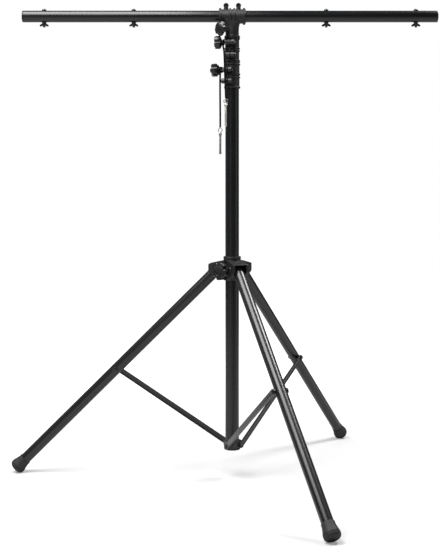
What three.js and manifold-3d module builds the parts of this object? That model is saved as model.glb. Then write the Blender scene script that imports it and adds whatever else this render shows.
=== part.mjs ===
// Lighting T bar stand: a three section mast on a folding tripod, with a cross bar on top.
// Millimetres, +Z up. Every piece is built round the mast's axis, with the floor at zero.
// The last lines move the whole stand so that the origin lies under the middle of its box.
import * as THREE from 'three';
import { mergeVertices } from 'three/addons/utils/BufferGeometryUtils.js';
import Module from 'manifold-3d';

const wasm = await Module();
wasm.setup();

// Fits
const seatGap = 0.3;            // between pieces that are fixed to each other
const runGap = 0.4;             // between pieces that slide or turn on each other
const tubeClearance = 1;        // between one mast tube and the next
const overrun = 4;              // how far a cutter runs past what it cuts

// Facets round a turned form
const tubeSides = 20;           // of the tubes and of the bores that they pass through
const castSides = 16;
const glideSides = 14;
const smallSides = 10;
const nutSides = 6;
const cordSides = 8;
const cordSteps = 14;
const ringSides = 6;
const capSteps = 2;
const domeSteps = 3;

// Foot of the mast
const baseFoot = 87.5;
const baseRimHeight = 7.8;
const baseRimRadius = 23.5;
const baseBodyHeight = 23.3;    // from its foot to the foot of the outer tube
const baseBodyRadius = 27;
const baseSpigotLength = 34;
const baseBore = 15;
const baseBoreDepth = 17;
const baseCapThickness = 2.5;
const baseCapSpigot = 8;

// Mast: three tubes, one inside the other, pushed right down
const outerRadius = 20;
const outerWall = 1.5;
const outerLength = 1073.7;
const outerFootHeight = baseFoot + baseBodyHeight;
const outerTopHeight = outerFootHeight + outerLength;
const outerBore = outerRadius - outerWall;
const middleWall = 1.5;
const middleRadius = outerBore - tubeClearance;
const middleBore = middleRadius - middleWall;
const innerWall = 1.5;
const innerRadius = middleBore - tubeClearance;
const glideWall = 1.5;
const glideLength = 30;         // nylon ring at the foot of a sliding tube
const glideSpigot = 14;
const middleRoom = 84.7;        // under the middle tube's glide, down to the base bracket
const innerRoom = 16.7;         // under the inner tube's glide, down to the middle one

// Both clamp housings
const lipHeight = 3.7;
const earOffset = 26;           // from the mast's axis to the clamp stud's axis
const earHalfHeight = 8.4;
const earLeft = 14;
const earRight = 12;
const lowerScrewEarLeft = 11.5;
const slitWidth = 2.6;
const studRadius = 4;
const nutAcrossFlats = 13;
const nutThickness = 4.5;
const nutPocketDepth = 3;
const clampScrewRadius = 3;
const clampScrewHeadRadius = 5.6;
const clampScrewHeadLength = 5;
const longHeadRadius = 7.6;
const longHeadLength = 9.5;

// Lower clamp housing, on top of the outer tube
const lowerHousingCover = 41.4; // down the outer tube
const lowerHousingRise = 38;    // above its top
const lowerHousingFoot = outerTopHeight - lowerHousingCover;
const lowerHousingTop = outerTopHeight + lowerHousingRise;
const lowerBore = outerRadius + seatGap;
const lowerShellWall = 1.3;
const lowerShellRadius = lowerBore + lowerShellWall;
const lowerRibDepth = 2.3;
const lowerRibShares = [[0, 0.068], [0.38, 0.426], [0.491, 0.55], [0.862, 0.909], [0.965, 1]];
const lowerTurn = THREE.MathUtils.degToRad(-25);
const lowerKnobDrop = 26.2;     // from the housing's top to its knob
const lowerKnobHeight = lowerHousingTop - lowerKnobDrop;
const lowerScrewRise = 20.4;    // from the housing's foot to its screw
const lowerScrewHeight = lowerHousingFoot + lowerScrewRise;

// Upper clamp housing, on top of the middle tube
const upperHousingCover = 36.6;
const upperHousingRise = 30;
const upperHousingFoot = lowerHousingTop + runGap;
const middleTopHeight = upperHousingFoot + upperHousingCover;
const upperHousingTop = middleTopHeight + upperHousingRise;
const upperBore = middleRadius + seatGap;
const upperShellWall = 2.9;
const upperShellRadius = upperBore + upperShellWall;
const upperRibDepth = 2.1;
const upperRibShares = [[0, 0.054], [0.414, 0.474], [0.52, 0.58], [0.955, 1]];
const upperTurn = THREE.MathUtils.degToRad(-12);
const upperKnobDrop = 13.5;
const upperKnobHeight = upperHousingTop - upperKnobDrop;
const upperScrewRise = 16.6;
const upperScrewHeight = upperHousingFoot + upperScrewRise;

// Cords of the safety pins, which hang beside the knobs
const cordDiameter = 5;
const upperCordOffset = 6;      // from the end of the ear to the cord
const lowerCordOffset = 12.5;

// Knobs: a cone, a rim with scoops along it, and a neck towards the clamp
const knobScoops = 5;
const knobRound = 2.3;
const clampKnobRadius = 19;
const clampKnobLength = 21.1;
const clampKnobCone = 5.9;
const clampScoopShares = [0.63, 0.31];
const clampNeckRadius = 6;
const clampNeckLength = 1;
const upperKnobGap = 1.1;       // from the cord to the knob's neck
const upperKnobFace = earLeft + upperCordOffset + cordDiameter / 2 + upperKnobGap + clampNeckLength;
const lowerKnobFace = earLeft + lowerCordOffset + cordDiameter / 2 + runGap + clampNeckLength;
const outwardNeckRadius = 8.5;
const outwardNeckLength = 8;
const outwardScoopShares = [0.72, 0.32];
const hubKnobRadius = 26;
const hubKnobLength = 19;
const hubKnobCone = 3.5;
const headKnobRadius = 22;
const headKnobLength = 18;
const headKnobCone = 7;

// Cross bar
const barRadius = 17;
const barWall = 1.6;
const barLength = 1220;
const barShift = -6.3;          // how far the bar's middle lies from the mast
const barCapDome = 2.2;
const barCapRim = 2;
const barCapSpigot = 12;
const barBoltShares = [-0.44713, -0.23156, 0.23156, 0.44713];
const barBoltRadius = 4;
const barBoltHeadRadius = 6.8;
const barBoltHeadHeight = 5;
const barBoltTail = 15;         // below the bar
const wingBodyRadius = 6.6;
const wingBodyTopRadius = 5.2;
const wingBodyHeight = 8;
const wingSpread = 13.4;
const wingDrop = 12.4;
const wingThickness = 3.4;
const wingRound = 3;

// Head casting, which turns on the inner tube and holds the cross bar
const headFoot = upperHousingTop + runGap;
const barRise = 64.6;           // from the head's foot to the bar's axis
const barHeight = headFoot + barRise;
const innerTopDrop = 7;         // from the bar's underside to the top of the inner tube
const innerTopHeight = barHeight - barRadius - innerTopDrop;
const headFlangeHeight = 7.6;
const headWall = 4.3;
const headSocketRadius = innerRadius + runGap + headWall;
const headFlangeDepth = 3.3;
const headFilletFoot = 38;      // below the bar's axis
const headFilletTop = 12;
const headFilletDepth = 6.8;
const sleeveLeft = 39;
const sleeveRight = 40;
const sleeveWall = 3.6;
const sleeveRadius = barRadius + runGap + sleeveWall;
const sleeveRibDepth = 3.5;
const sleeveRibWidth = 3;
const sleeveRibShares = [0.0494, 0.3873, 0.5544, 0.8848];
const headKnobDrop = 40;        // from the bar's axis
const headKnobHeight = barHeight - headKnobDrop;
const headKnobTurn = THREE.MathUtils.degToRad(-135);
const headBossRadius = 8;
const headBossLength = 10.9;
const headBossReach = headSocketRadius + headBossLength;
const headKnobFace = headBossReach + runGap + outwardNeckLength;
const thumbShares = [0.2684, 0.7291];
const thumbBossRadius = 7;
const thumbBossLength = 5;
const thumbBossHeight = sleeveRadius + thumbBossLength;
const thumbStudRadius = 3;
const thumbWidth = 15.6;
const thumbThickness = 5;
const thumbHeight = 13.7;       // over its boss
const thumbCollarRadius = 5.5;
const thumbCollarHeight = 2.5;
const thumbRecessDepth = 1;
const thumbRecessRadius = 5;

// Legs, which turn in the hub's brackets
const legPivotHeight = 614.5;
const legTurns = [-68.83, 54.45, 173.92].map(THREE.MathUtils.degToRad);
const legTilt = THREE.MathUtils.degToRad(45.31);
const legRadius = 16;
const legWall = 1.6;
const legSolidEnd = 24;         // pressed in end fitting, below the pivot
const legPinRadius = 4;
const legPinHeadRadius = 7;
const legPinHeadHeight = 3;
const sleeveBushRadius = 6;
const sleeveHeadRadius = 8.5;
const sleeveHeadHeight = 3.5;
const footCover = 43;           // how much of the leg the foot hides, end included
const footRadius = 22.5;
const footNeckWall = 1.4;
const footNeckLength = 7;
const footCornerRadius = 10;
const footShoulder = 5;         // straight part above the rounded end
const footSole = 14;            // rubber past the end of the tube
const floorBite = 0.9;          // how deep the flat is cut that the foot rests on

// Hub, which slides on the outer tube
const hubWall = 4.8;
const hubRadius = outerRadius + runGap + hubWall;
const hubFootDrop = 34;         // below the leg pivots
const hubTopRise = 26;          // above them
const hubFoot = legPivotHeight - hubFootDrop;
const hubTop = legPivotHeight + hubTopRise;
const hubCollarWall = 5.2;
const hubCollarRadius = outerRadius + runGap + hubCollarWall;
const hubCollarHeight = 10;
const bracketSideGap = 1.65;
const bracketWall = 5.35;
const bracketHalfOpening = legRadius + bracketSideGap;
const bracketHalfWidth = bracketHalfOpening + bracketWall;
const channelBack = hubRadius + runGap;
const legPivotReach = channelBack + legRadius + runGap;
const bracketNoseLength = 26;   // past the leg pivot
const bracketReach = legPivotReach + bracketNoseLength;
const bracketInnerRise = 25;    // above the leg pivots
const bracketOuterRise = 15;
const bracketInnerTop = legPivotHeight + bracketInnerRise;
const bracketOuterTop = legPivotHeight + bracketOuterRise;
const bracketPlate = 4;
const bracketNose = 3;
const bracketMouthDrop = 7;     // below them
const bracketHeelDrop = 31;
const bracketMouthFoot = legPivotHeight - bracketMouthDrop;
const bracketHeelFoot = legPivotHeight - bracketHeelDrop;
const bracketHeelDepth = 10.8;
const hubKnobDrop = 4;
const hubKnobHeight = legPivotHeight - hubKnobDrop;
const hubKnobTurn = THREE.MathUtils.degToRad(-126.5);
const hubBossRadius = 11;
const hubBossLength = 16.4;
const hubBossReach = hubRadius + hubBossLength;
const hubKnobFace = hubBossReach + runGap + outwardNeckLength;

// Struts
const strutBoltDistance = 428.8;
const strutClearance = 4.6;
const strutNear = legRadius + strutClearance;
const strutDepth = 5;
const strutWidth = 16;
const strutWall = 1.8;
const strutEndSolid = 12;
const strutPivotReach = 12;
const strutPivotRise = 9;       // above the foot of the base bracket
const strutPivotHeight = baseFoot + strutPivotRise;
const strutPinRadius = 4;
const strutHeadRadius = 7;
const strutHeadHeight = 3.2;
const baseFlatReach = strutNear - seatGap;

// Safety pins, each in a ring at the end of its cord. Each route is measured from the clamp's stud.
const ringRadius = 7.2;
const ringWire = 1.5;
const ringSteps = 12;
const pinRadius = 3.2;
const pinHeadRadius = 4.6;
const pinHeadLength = 7;
const pinBallRadius = 4;
const upperRingDrop = 172.5;
const upperPinDrop = 247.5;
const lowerRingDrop = 176.3;
const lowerPinDrop = 246.8;
const upperCordRoute = [[0.9, -6.8, 4], [0.2, -6.8, -1], [-0.7, -6.9, -6], [-0.7, -7.2, -10], [0.2, -7.7, -15],
  [1.4, -8.2, -19], [2.4, -8.8, -24], [3.3, -9.6, -31], [4, -10.3, -40], [4.6, -10.8, -52], [5.1, -11, -66],
  [5.5, -11.2, -82], [6.1, -11.2, -100], [6.8, -11.2, -118], [7.6, -11.2, -138], [8.2, -11.2, -154],
  [8.6, -11.2, -165]];
const lowerCordRoute = [[0, 0, -4.3], [-0.1, 0, -10], [-0.3, 0, -17.8], [-0.4, -0.1, -28], [-0.5, -0.2, -41.8],
  [-0.5, -0.2, -55], [-0.4, -0.3, -69.8], [-0.3, -0.3, -83], [-0.2, -0.3, -97.8], [-0.1, -0.2, -112],
  [0, -0.1, -125.8], [0, 0, -138], [0, 0, -147.8], [0, 0, -158], [0, 0, -168.8]];

// Finishes
const paint = new THREE.MeshStandardMaterial({ color: 0x232427, roughness: 0.42, metalness: 0.35 });
const legPaint = new THREE.MeshStandardMaterial({ color: 0x2a2b2d, roughness: 0.5, metalness: 0.3 });
const casting = new THREE.MeshStandardMaterial({ color: 0x1c1d1f, roughness: 0.55, metalness: 0.2 });
const plastic = new THREE.MeshStandardMaterial({ color: 0x161618, roughness: 0.5, metalness: 0 });
const rubber = new THREE.MeshStandardMaterial({ color: 0x1b1b1b, roughness: 0.8, metalness: 0 });
const nylon = new THREE.MeshStandardMaterial({ color: 0x2b2b2c, roughness: 0.6, metalness: 0 });
const darkSteel = new THREE.MeshStandardMaterial({ color: 0x1d1d1f, roughness: 0.4, metalness: 0.8 });
const steel = new THREE.MeshStandardMaterial({ color: 0xb4b4b2, roughness: 0.25, metalness: 1 });
const cordFinish = new THREE.MeshStandardMaterial({ color: 0x121213, roughness: 0.35, metalness: 0 });

// A closed geometry as a solid that can be joined and cut
function solidOf(geometry) {
  const bare = geometry.clone();
  bare.deleteAttribute('normal');
  bare.deleteAttribute('uv');
  const merged = mergeVertices(bare);
  const index = merged.index.array;
  const corners = [];
  for (let i = 0; i < index.length; i += 3) {
    const [a, b, c] = [index[i], index[i + 1], index[i + 2]];
    if (a !== b && b !== c && c !== a) corners.push(a, b, c);
  }
  const points = new Float32Array(merged.attributes.position.array);
  if (signedVolume(points, corners) < 0) corners.reverse();
  return new wasm.Manifold(new wasm.Mesh({
    numProp: 3,
    vertProperties: points,
    triVerts: new Uint32Array(corners),
  }));
}

// Six times the volume, positive where the faces point out
function signedVolume(points, corners) {
  const [a, b, c] = [new THREE.Vector3(), new THREE.Vector3(), new THREE.Vector3()];
  let total = 0;
  for (let i = 0; i < corners.length; i += 3) {
    a.fromArray(points, 3 * corners[i]);
    b.fromArray(points, 3 * corners[i + 1]);
    c.fromArray(points, 3 * corners[i + 2]);
    total += a.dot(b.cross(c));
  }
  return total;
}

// A finished solid as a named mesh in its group
function piece(name, solid, material, parent) {
  const made = solid.getMesh();
  const geometry = new THREE.BufferGeometry();
  geometry.setAttribute('position', new THREE.BufferAttribute(new Float32Array(made.vertProperties), 3));
  geometry.setIndex(new THREE.BufferAttribute(new Uint32Array(made.triVerts), 1));
  geometry.computeVertexNormals();
  const mesh = new THREE.Mesh(geometry, material);
  mesh.name = name;
  parent.add(mesh);
  return mesh;
}

// A profile of [radius, height] pairs turned about Z. It closes on itself or starts and ends on the axis.
function turned(profile, sides = castSides) {
  const points = profile.map(([radius, height]) => new THREE.Vector2(radius, height));
  if (profile[0][0] > 0) points.push(points[0].clone());
  return new THREE.LatheGeometry(points, sides).rotateX(Math.PI / 2);
}

// A round bar on the Z axis
function rod(radius, foot, top, sides = smallSides) {
  const middle = (foot + top) / 2;
  return new THREE.CylinderGeometry(radius, radius, top - foot, sides).rotateX(Math.PI / 2).translate(0, 0, middle);
}

// The same, along X or along Y through a point
function rodAlongX(radius, start, end, y, z, sides = smallSides) {
  return rod(radius, start, end, sides).rotateY(Math.PI / 2).translate(0, y, z);
}

function rodAlongY(radius, start, end, x, z, sides = smallSides) {
  return rod(radius, start, end, sides).rotateX(-Math.PI / 2).translate(x, 0, z);
}

// A radial bar at a turn about the mast
function rodOutwards(radius, start, end, turn, z, sides = smallSides) {
  return rod(radius, start, end, sides).rotateY(Math.PI / 2).rotateZ(turn).translate(0, 0, z);
}

// A hexagonal bar on the Z axis
function hexagon(acrossFlats, foot, top) {
  return rod(acrossFlats / Math.sqrt(3), foot, top, nutSides).rotateZ(Math.PI / nutSides);
}

// A block between two corners
function block(x0, x1, y0, y1, z0, z1) {
  const box = new THREE.BoxGeometry(x1 - x0, y1 - y0, z1 - z0);
  return box.translate((x0 + x1) / 2, (y0 + y1) / 2, (z0 + z1) / 2);
}

// An outline in the X Z plane, as thick as the range of Y
function slabXZ(outline, y0, y1) {
  const depth = y1 - y0;
  const geometry = new THREE.ExtrudeGeometry(outline, { depth, bevelEnabled: false, curveSegments: capSteps });
  return geometry.rotateX(Math.PI / 2).translate(0, y1, 0);
}

function joined(...geometries) {
  return geometries.map(solidOf).reduce((sum, next) => sum.add(next));
}

function cut(solid, ...cutters) {
  return cutters.map(solidOf).reduce((rest, cutter) => rest.subtract(cutter), solid);
}

function tube(radius, wall, foot, top, sides = tubeSides) {
  return turned([[radius - wall, foot], [radius, foot], [radius, top], [radius - wall, top]], sides);
}

const stand = new THREE.Group();

function turnedGroup(turn) {
  const group = new THREE.Group();
  group.rotation.z = turn;
  stand.add(group);
  return group;
}

// Mast tubes and the nylon glides that steady their feet
piece('outer_tube', solidOf(tube(outerRadius, outerWall, outerFootHeight, outerTopHeight)), paint, stand);

function slidingTube(name, radius, wall, foot, top, roomRadius) {
  piece(`${name}_tube`, solidOf(tube(radius, wall, foot, top)), paint, stand);
  const spigotRadius = radius - wall - seatGap;
  const ringFoot = foot - seatGap - glideLength;
  const profile = [
    [spigotRadius - glideWall, ringFoot],
    [roomRadius - runGap, ringFoot],
    [roomRadius - runGap, foot - seatGap],
    [spigotRadius, foot - seatGap],
    [spigotRadius, foot + glideSpigot],
    [spigotRadius - glideWall, foot + glideSpigot],
  ];
  piece(`${name}_glide`, solidOf(turned(profile, glideSides)), nylon, stand);
}

const baseSpigotTop = outerFootHeight - seatGap + baseSpigotLength;
const middleFoot = baseSpigotTop + middleRoom + glideLength + seatGap;
const innerFoot = middleFoot + glideSpigot + innerRoom + glideLength + seatGap;
slidingTube('middle', middleRadius, middleWall, middleFoot, middleTopHeight, outerBore);
slidingTube('inner', innerRadius, innerWall, innerFoot, innerTopHeight, middleBore);

// A split clamp housing: a ribbed shell with two ears in front, a stud in one and a screw in the other
function clampHousing(size) {
  const { foot, top, shellRadius, ribDepth, ribShares, bore, lipBore, ears, nutHeight } = size;
  const outside = [];
  for (const [startShare, endShare] of ribShares) {
    const start = foot + startShare * (top - foot);
    const end = foot + endShare * (top - foot);
    if (startShare > 0) outside.push([shellRadius, start]);
    outside.push([shellRadius + ribDepth, start], [shellRadius + ribDepth, end]);
    if (endShare < 1) outside.push([shellRadius, end]);
  }
  let shell = solidOf(turned([[0, foot], ...outside, [0, top]]));
  for (const ear of ears) {
    const round = rodAlongX(earHalfHeight, -ear.left, ear.right, -earOffset, ear.height);
    const back = block(-ear.left, ear.right, -earOffset, -shellRadius / 2,
      ear.height - earHalfHeight, ear.height + earHalfHeight);
    shell = shell.add(joined(round, back));
  }
  const slit = block(-slitWidth / 2, slitWidth / 2, -earOffset - earHalfHeight - overrun, -lipBore / 2,
    foot - overrun, top + overrun);
  const holes = ears.map((ear) => rodAlongX(ear.holeRadius, -ear.left - overrun, ear.right + overrun,
    -earOffset, ear.height));
  const pocket = hexagon(nutAcrossFlats + 2 * seatGap, earRight - nutPocketDepth, earRight + overrun)
    .rotateY(Math.PI / 2).translate(0, -earOffset, nutHeight);
  return cut(shell,
    rod(bore, foot - overrun, top - lipHeight, tubeSides),
    rod(lipBore, foot - overrun, top + overrun, tubeSides),
    slit, pocket, ...holes);
}

// A ring that steadies the inner of two tubes at the mouth of the outer one
function mouthBush(name, shellBore, tubeTop, housingTop, innerTube) {
  const bush = turned([
    [innerTube + runGap, tubeTop + seatGap],
    [shellBore - seatGap, tubeTop + seatGap],
    [shellBore - seatGap, housingTop - lipHeight - seatGap],
    [innerTube + runGap, housingTop - lipHeight - seatGap],
  ], tubeSides);
  piece(name, solidOf(bush), nylon, stand);
}

const lowerClamp = turnedGroup(lowerTurn);
const upperClamp = turnedGroup(upperTurn);
const studHole = studRadius + seatGap;
const screwHole = clampScrewRadius + seatGap;

piece('lower_housing', clampHousing({
  foot: lowerHousingFoot,
  top: lowerHousingTop,
  shellRadius: lowerShellRadius,
  ribDepth: lowerRibDepth,
  ribShares: lowerRibShares,
  nutHeight: lowerKnobHeight,
  bore: lowerBore,
  lipBore: middleRadius + 2 * runGap,
  ears: [
    { height: lowerKnobHeight, left: earLeft, right: earRight, holeRadius: studHole },
    { height: lowerScrewHeight, left: lowerScrewEarLeft, right: earRight, holeRadius: screwHole },
  ],
}), casting, lowerClamp);
mouthBush('lower_bush', lowerBore, outerTopHeight, lowerHousingTop, middleRadius);

piece('upper_housing', clampHousing({
  foot: upperHousingFoot,
  top: upperHousingTop,
  shellRadius: upperShellRadius,
  ribDepth: upperRibDepth,
  ribShares: upperRibShares,
  nutHeight: upperKnobHeight,
  bore: upperBore,
  lipBore: innerRadius + 2 * runGap,
  ears: [
    { height: upperKnobHeight, left: earLeft, right: earRight, holeRadius: studHole },
    { height: upperScrewHeight, left: earLeft, right: earRight, holeRadius: screwHole },
  ],
}), casting, upperClamp);
mouthBush('upper_bush', upperBore, middleTopHeight, upperHousingTop, innerRadius);

// A knob on the Z axis with scoops along its rim, its neck and its stud below zero
function knob({ radius, length, cone, scoopShares, neckRadius, neckLength, studLength }) {
  const grip = turned([
    [0, 0],
    [neckRadius, 0],
    [radius, cone],
    [radius, length - knobRound],
    [radius - knobRound, length],
    [0, length],
  ]);
  const [bottomShare, roundShare] = scoopShares;
  const scoopRadius = roundShare * radius;
  const scoops = [];
  for (let i = 0; i < knobScoops; i += 1) {
    const scoop = rod(scoopRadius, -overrun, length + overrun).translate(bottomShare * radius + scoopRadius, 0, 0);
    scoops.push(scoop.rotateZ(2 * Math.PI * i / knobScoops));
  }
  const neck = rod(neckRadius, -neckLength, cone / 2);
  const stud = rod(studRadius, -studLength, cone / 2);
  return cut(solidOf(grip), ...scoops).add(joined(neck, stud));
}

// A hexagon nut on the Z axis, from zero up
function hexNut(acrossFlats, thickness, holeRadius) {
  return cut(solidOf(hexagon(acrossFlats, 0, thickness)), rod(holeRadius, -overrun, thickness + overrun));
}

// A cap screw on the Z axis: its head above zero, its shank below
function capScrew(radius, headRadius, headLength, shankLength) {
  const chamfer = headLength / 8;
  return solidOf(turned([
    [0, -shankLength],
    [radius, -shankLength],
    [radius, 0],
    [headRadius, 0],
    [headRadius, headLength - chamfer],
    [headRadius - chamfer, headLength],
    [headRadius / 2, headLength],
    [headRadius / 2 - chamfer, headLength / 2],
    [0, headLength / 2],
  ], smallSides));
}

function alongStud(mesh, place, height, towardsLeft) {
  mesh.rotation.y = (towardsLeft ? -1 : 1) * Math.PI / 2;
  mesh.position.set(place, -earOffset, height);
}

function clampHardware(prefix, group, knobFace, height) {
  const grip = knob({
    radius: clampKnobRadius,
    length: clampKnobLength,
    cone: clampKnobCone,
    scoopShares: clampScoopShares,
    neckRadius: clampNeckRadius,
    neckLength: clampNeckLength,
    studLength: knobFace + earRight,
  });
  alongStud(piece(`${prefix}_knob`, grip, plastic, group), -knobFace, height, true);
  const nut = hexNut(nutAcrossFlats, nutThickness, studRadius + seatGap);
  alongStud(piece(`${prefix}_nut`, nut, plastic, group), earRight - nutPocketDepth + seatGap, height, false);
}

clampHardware('lower', lowerClamp, lowerKnobFace, lowerKnobHeight);
clampHardware('upper', upperClamp, upperKnobFace, upperKnobHeight);
const longScrew = capScrew(clampScrewRadius, longHeadRadius, longHeadLength, lowerScrewEarLeft + earRight);
alongStud(piece('lower_screw', longScrew, plastic, lowerClamp), -lowerScrewEarLeft - seatGap, lowerScrewHeight, true);
const shortScrew = capScrew(clampScrewRadius, clampScrewHeadRadius, clampScrewHeadLength, earLeft + earRight);
alongStud(piece('upper_screw', shortScrew, plastic, upperClamp), earRight + seatGap, upperScrewHeight, false);

const thumbPlaces = thumbShares.map((share) => share * (sleeveLeft + sleeveRight) - sleeveLeft);

// Head casting: an upright socket, a level sleeve for the bar, and bosses for its three screws
function headCasting() {
  const flangeRadius = headSocketRadius + headFlangeDepth;
  const socket = turned([
    [0, headFoot],
    [flangeRadius, headFoot],
    [flangeRadius, headFoot + headFlangeHeight],
    [headSocketRadius, headFoot + headFlangeHeight],
    [headSocketRadius, barHeight],
    [0, barHeight],
  ]);
  const filletRadius = headSocketRadius + headFilletDepth;
  const fillet = new THREE.Shape();
  fillet.moveTo(0, barHeight - headFilletFoot);
  fillet.lineTo(headSocketRadius, barHeight - headFilletFoot);
  fillet.quadraticCurveTo(headSocketRadius + headFilletDepth / 4, barHeight - headFilletTop - headFilletDepth,
    filletRadius, barHeight - headFilletTop);
  fillet.lineTo(0, barHeight - headFilletTop);
  const flare = turned(fillet.getPoints(capSteps).map((point) => [point.x, point.y]));
  const flareRoom = block(-filletRadius, filletRadius, -headSocketRadius, headSocketRadius,
    barHeight - headFilletFoot - overrun, barHeight);
  const sleeveLength = sleeveLeft + sleeveRight;
  const ribRadius = sleeveRadius + sleeveRibDepth;
  const outside = [[0, -sleeveLeft], [sleeveRadius, -sleeveLeft]];
  for (const share of sleeveRibShares) {
    const start = share * sleeveLength - sleeveLeft;
    const end = start + sleeveRibWidth;
    outside.push([sleeveRadius, start], [ribRadius, start], [ribRadius, end], [sleeveRadius, end]);
  }
  outside.push([sleeveRadius, sleeveRight], [0, sleeveRight]);
  const sleeve = turned(outside).rotateY(Math.PI / 2).translate(0, 0, barHeight);
  const knobBoss = rodOutwards(headBossRadius, 0, headBossReach, headKnobTurn, headKnobHeight);
  const thumbBosses = thumbPlaces.map((x) => rod(thumbBossRadius, barHeight, barHeight + thumbBossHeight)
    .translate(x, 0, 0));
  const body = joined(socket, sleeve, knobBoss, ...thumbBosses)
    .add(solidOf(flare).intersect(solidOf(flareRoom)));
  return cut(body,
    rod(innerRadius + runGap, headFoot - overrun, innerTopHeight + runGap, tubeSides),
    rodAlongX(barRadius + runGap, -sleeveLeft - overrun, sleeveRight + overrun, 0, barHeight, tubeSides),
    rodOutwards(studRadius + seatGap, innerRadius, headBossReach + overrun, headKnobTurn, headKnobHeight),
    ...thumbPlaces.map((x) => rod(thumbStudRadius + seatGap, barHeight + barRadius - overrun / 2,
      barHeight + thumbBossHeight + overrun).translate(x, 0, 0)));
}

piece('head_casting', headCasting(), casting, stand);

function outwardKnob(name, radius, length, cone, face, studEnd, turn, height) {
  const grip = knob({
    radius,
    length,
    cone,
    scoopShares: outwardScoopShares,
    neckRadius: outwardNeckRadius,
    neckLength: outwardNeckLength,
    studLength: face - studEnd,
  });
  const mesh = piece(name, grip, plastic, turnedGroup(turn));
  mesh.rotation.y = Math.PI / 2;
  mesh.position.set(face, 0, height);
}

outwardKnob('head_knob', headKnobRadius, headKnobLength, headKnobCone, headKnobFace, innerRadius + runGap,
  headKnobTurn, headKnobHeight);

// Thumb screws that press on the bar
function thumbScrew() {
  const collarFoot = thumbBossHeight + seatGap;
  const collarTop = collarFoot + thumbCollarHeight;
  const thumbTop = thumbBossHeight + thumbHeight;
  const spade = new THREE.Shape();
  const half = thumbWidth / 2;
  spade.moveTo(-thumbCollarRadius, collarFoot);
  spade.lineTo(thumbCollarRadius, collarFoot);
  spade.quadraticCurveTo(half, collarTop, half, thumbTop - half);
  spade.absarc(0, thumbTop - half, half, 0, Math.PI, false);
  spade.quadraticCurveTo(-half, collarTop, -thumbCollarRadius, collarFoot);
  const blade = slabXZ(spade, -thumbThickness / 2, thumbThickness / 2);
  const stud = rod(thumbStudRadius, barRadius + seatGap, collarTop);
  const collar = rod(thumbCollarRadius, collarFoot, collarTop);
  const recessEdge = thumbThickness / 2 - thumbRecessDepth;
  return cut(joined(blade, stud, collar),
    rodAlongY(thumbRecessRadius, -thumbThickness, -recessEdge, 0, thumbTop - half),
    rodAlongY(thumbRecessRadius, recessEdge, thumbThickness, 0, thumbTop - half));
}

['left', 'right'].forEach((side, i) => {
  piece(`thumb_screw_${side}`, thumbScrew(), plastic, stand).position.set(thumbPlaces[i], 0, barHeight);
});

// Cross bar with its end caps, bolts and wing nuts
const bar = new THREE.Group();
bar.position.set(barShift, 0, barHeight);
stand.add(bar);

const capReach = barCapRim + barCapDome;
const barTubeHalf = barLength / 2 - capReach - seatGap;
const barTube = tube(barRadius, barWall, -barTubeHalf, barTubeHalf).rotateY(Math.PI / 2);
const barBoltPlaces = barBoltShares.map((share) => share * barLength);
const barHoles = barBoltPlaces.map((x) => rod(barBoltRadius + seatGap, -barRadius - overrun, barRadius + overrun)
  .translate(x, 0, 0));
piece('bar_tube', cut(solidOf(barTube), ...barHoles), paint, bar);

function barCap() {
  const spigot = barRadius - barWall - seatGap;
  const dome = [];
  for (let i = 0; i <= domeSteps; i += 1) {
    const angle = Math.PI / 2 * i / domeSteps;
    dome.push([barRadius * Math.cos(angle), barCapRim + barCapDome * Math.sin(angle)]);
  }
  dome[domeSteps][0] = 0;
  const cap = turned([[0, 0], [barRadius, 0], ...dome], tubeSides);
  const plug = tube(spigot, barWall, -barCapSpigot, barCapRim / 2, smallSides);
  return joined(cap, plug);
}

[['left', -1], ['right', 1]].forEach(([side, sign]) => {
  const mesh = piece(`bar_cap_${side}`, barCap(), plastic, bar);
  mesh.rotation.y = sign * Math.PI / 2;
  mesh.position.x = sign * (barTubeHalf + seatGap);
});

function barBolt() {
  const headFootHeight = barRadius + seatGap;
  const profile = [[0, -barRadius - barBoltTail], [barBoltRadius, -barRadius - barBoltTail],
    [barBoltRadius, headFootHeight], [barBoltHeadRadius, headFootHeight]];
  for (let i = 1; i <= capSteps; i += 1) {
    const angle = Math.PI / 2 * i / capSteps;
    const reach = i === capSteps ? 0 : barBoltHeadRadius * Math.cos(angle);
    profile.push([reach, headFootHeight + barBoltHeadHeight * Math.sin(angle)]);
  }
  return solidOf(turned(profile, smallSides));
}

// A nut with two straight wings that slant downwards, each with a round end
function wingNut() {
  const top = -barRadius - seatGap;
  const body = turned([
    [0, top - wingBodyHeight],
    [wingBodyTopRadius, top - wingBodyHeight],
    [wingBodyRadius, top],
    [0, top],
  ], smallSides);
  const root = new THREE.Vector2(0, top - wingRound);
  const end = new THREE.Vector2(wingSpread - wingRound, top - wingDrop + wingRound);
  const run = end.clone().sub(root).normalize();
  const side = new THREE.Vector2(-run.y, run.x).multiplyScalar(wingRound);
  const sideAngle = side.angle();
  const wing = new THREE.Shape();
  wing.moveTo(root.x, top - wingRound / 2);
  wing.lineTo(root.x + side.x, root.y + side.y);
  wing.lineTo(end.x + side.x, end.y + side.y);
  wing.absarc(end.x, end.y, wingRound, sideAngle, sideAngle - Math.PI, true);
  wing.lineTo(root.x, root.y - 2 * wingRound);
  const blade = slabXZ(wing, -wingThickness / 2, wingThickness / 2);
  const mirrored = blade.clone().rotateZ(Math.PI);
  return cut(joined(body, blade, mirrored),
    rod(barBoltRadius + seatGap, top - wingDrop - overrun, top + overrun));
}

barBoltPlaces.forEach((x, i) => {
  piece(`bar_bolt_${i + 1}`, barBolt(), darkSteel, bar).position.x = x;
  piece(`wing_nut_${i + 1}`, wingNut(), plastic, bar).position.x = x;
});

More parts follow.
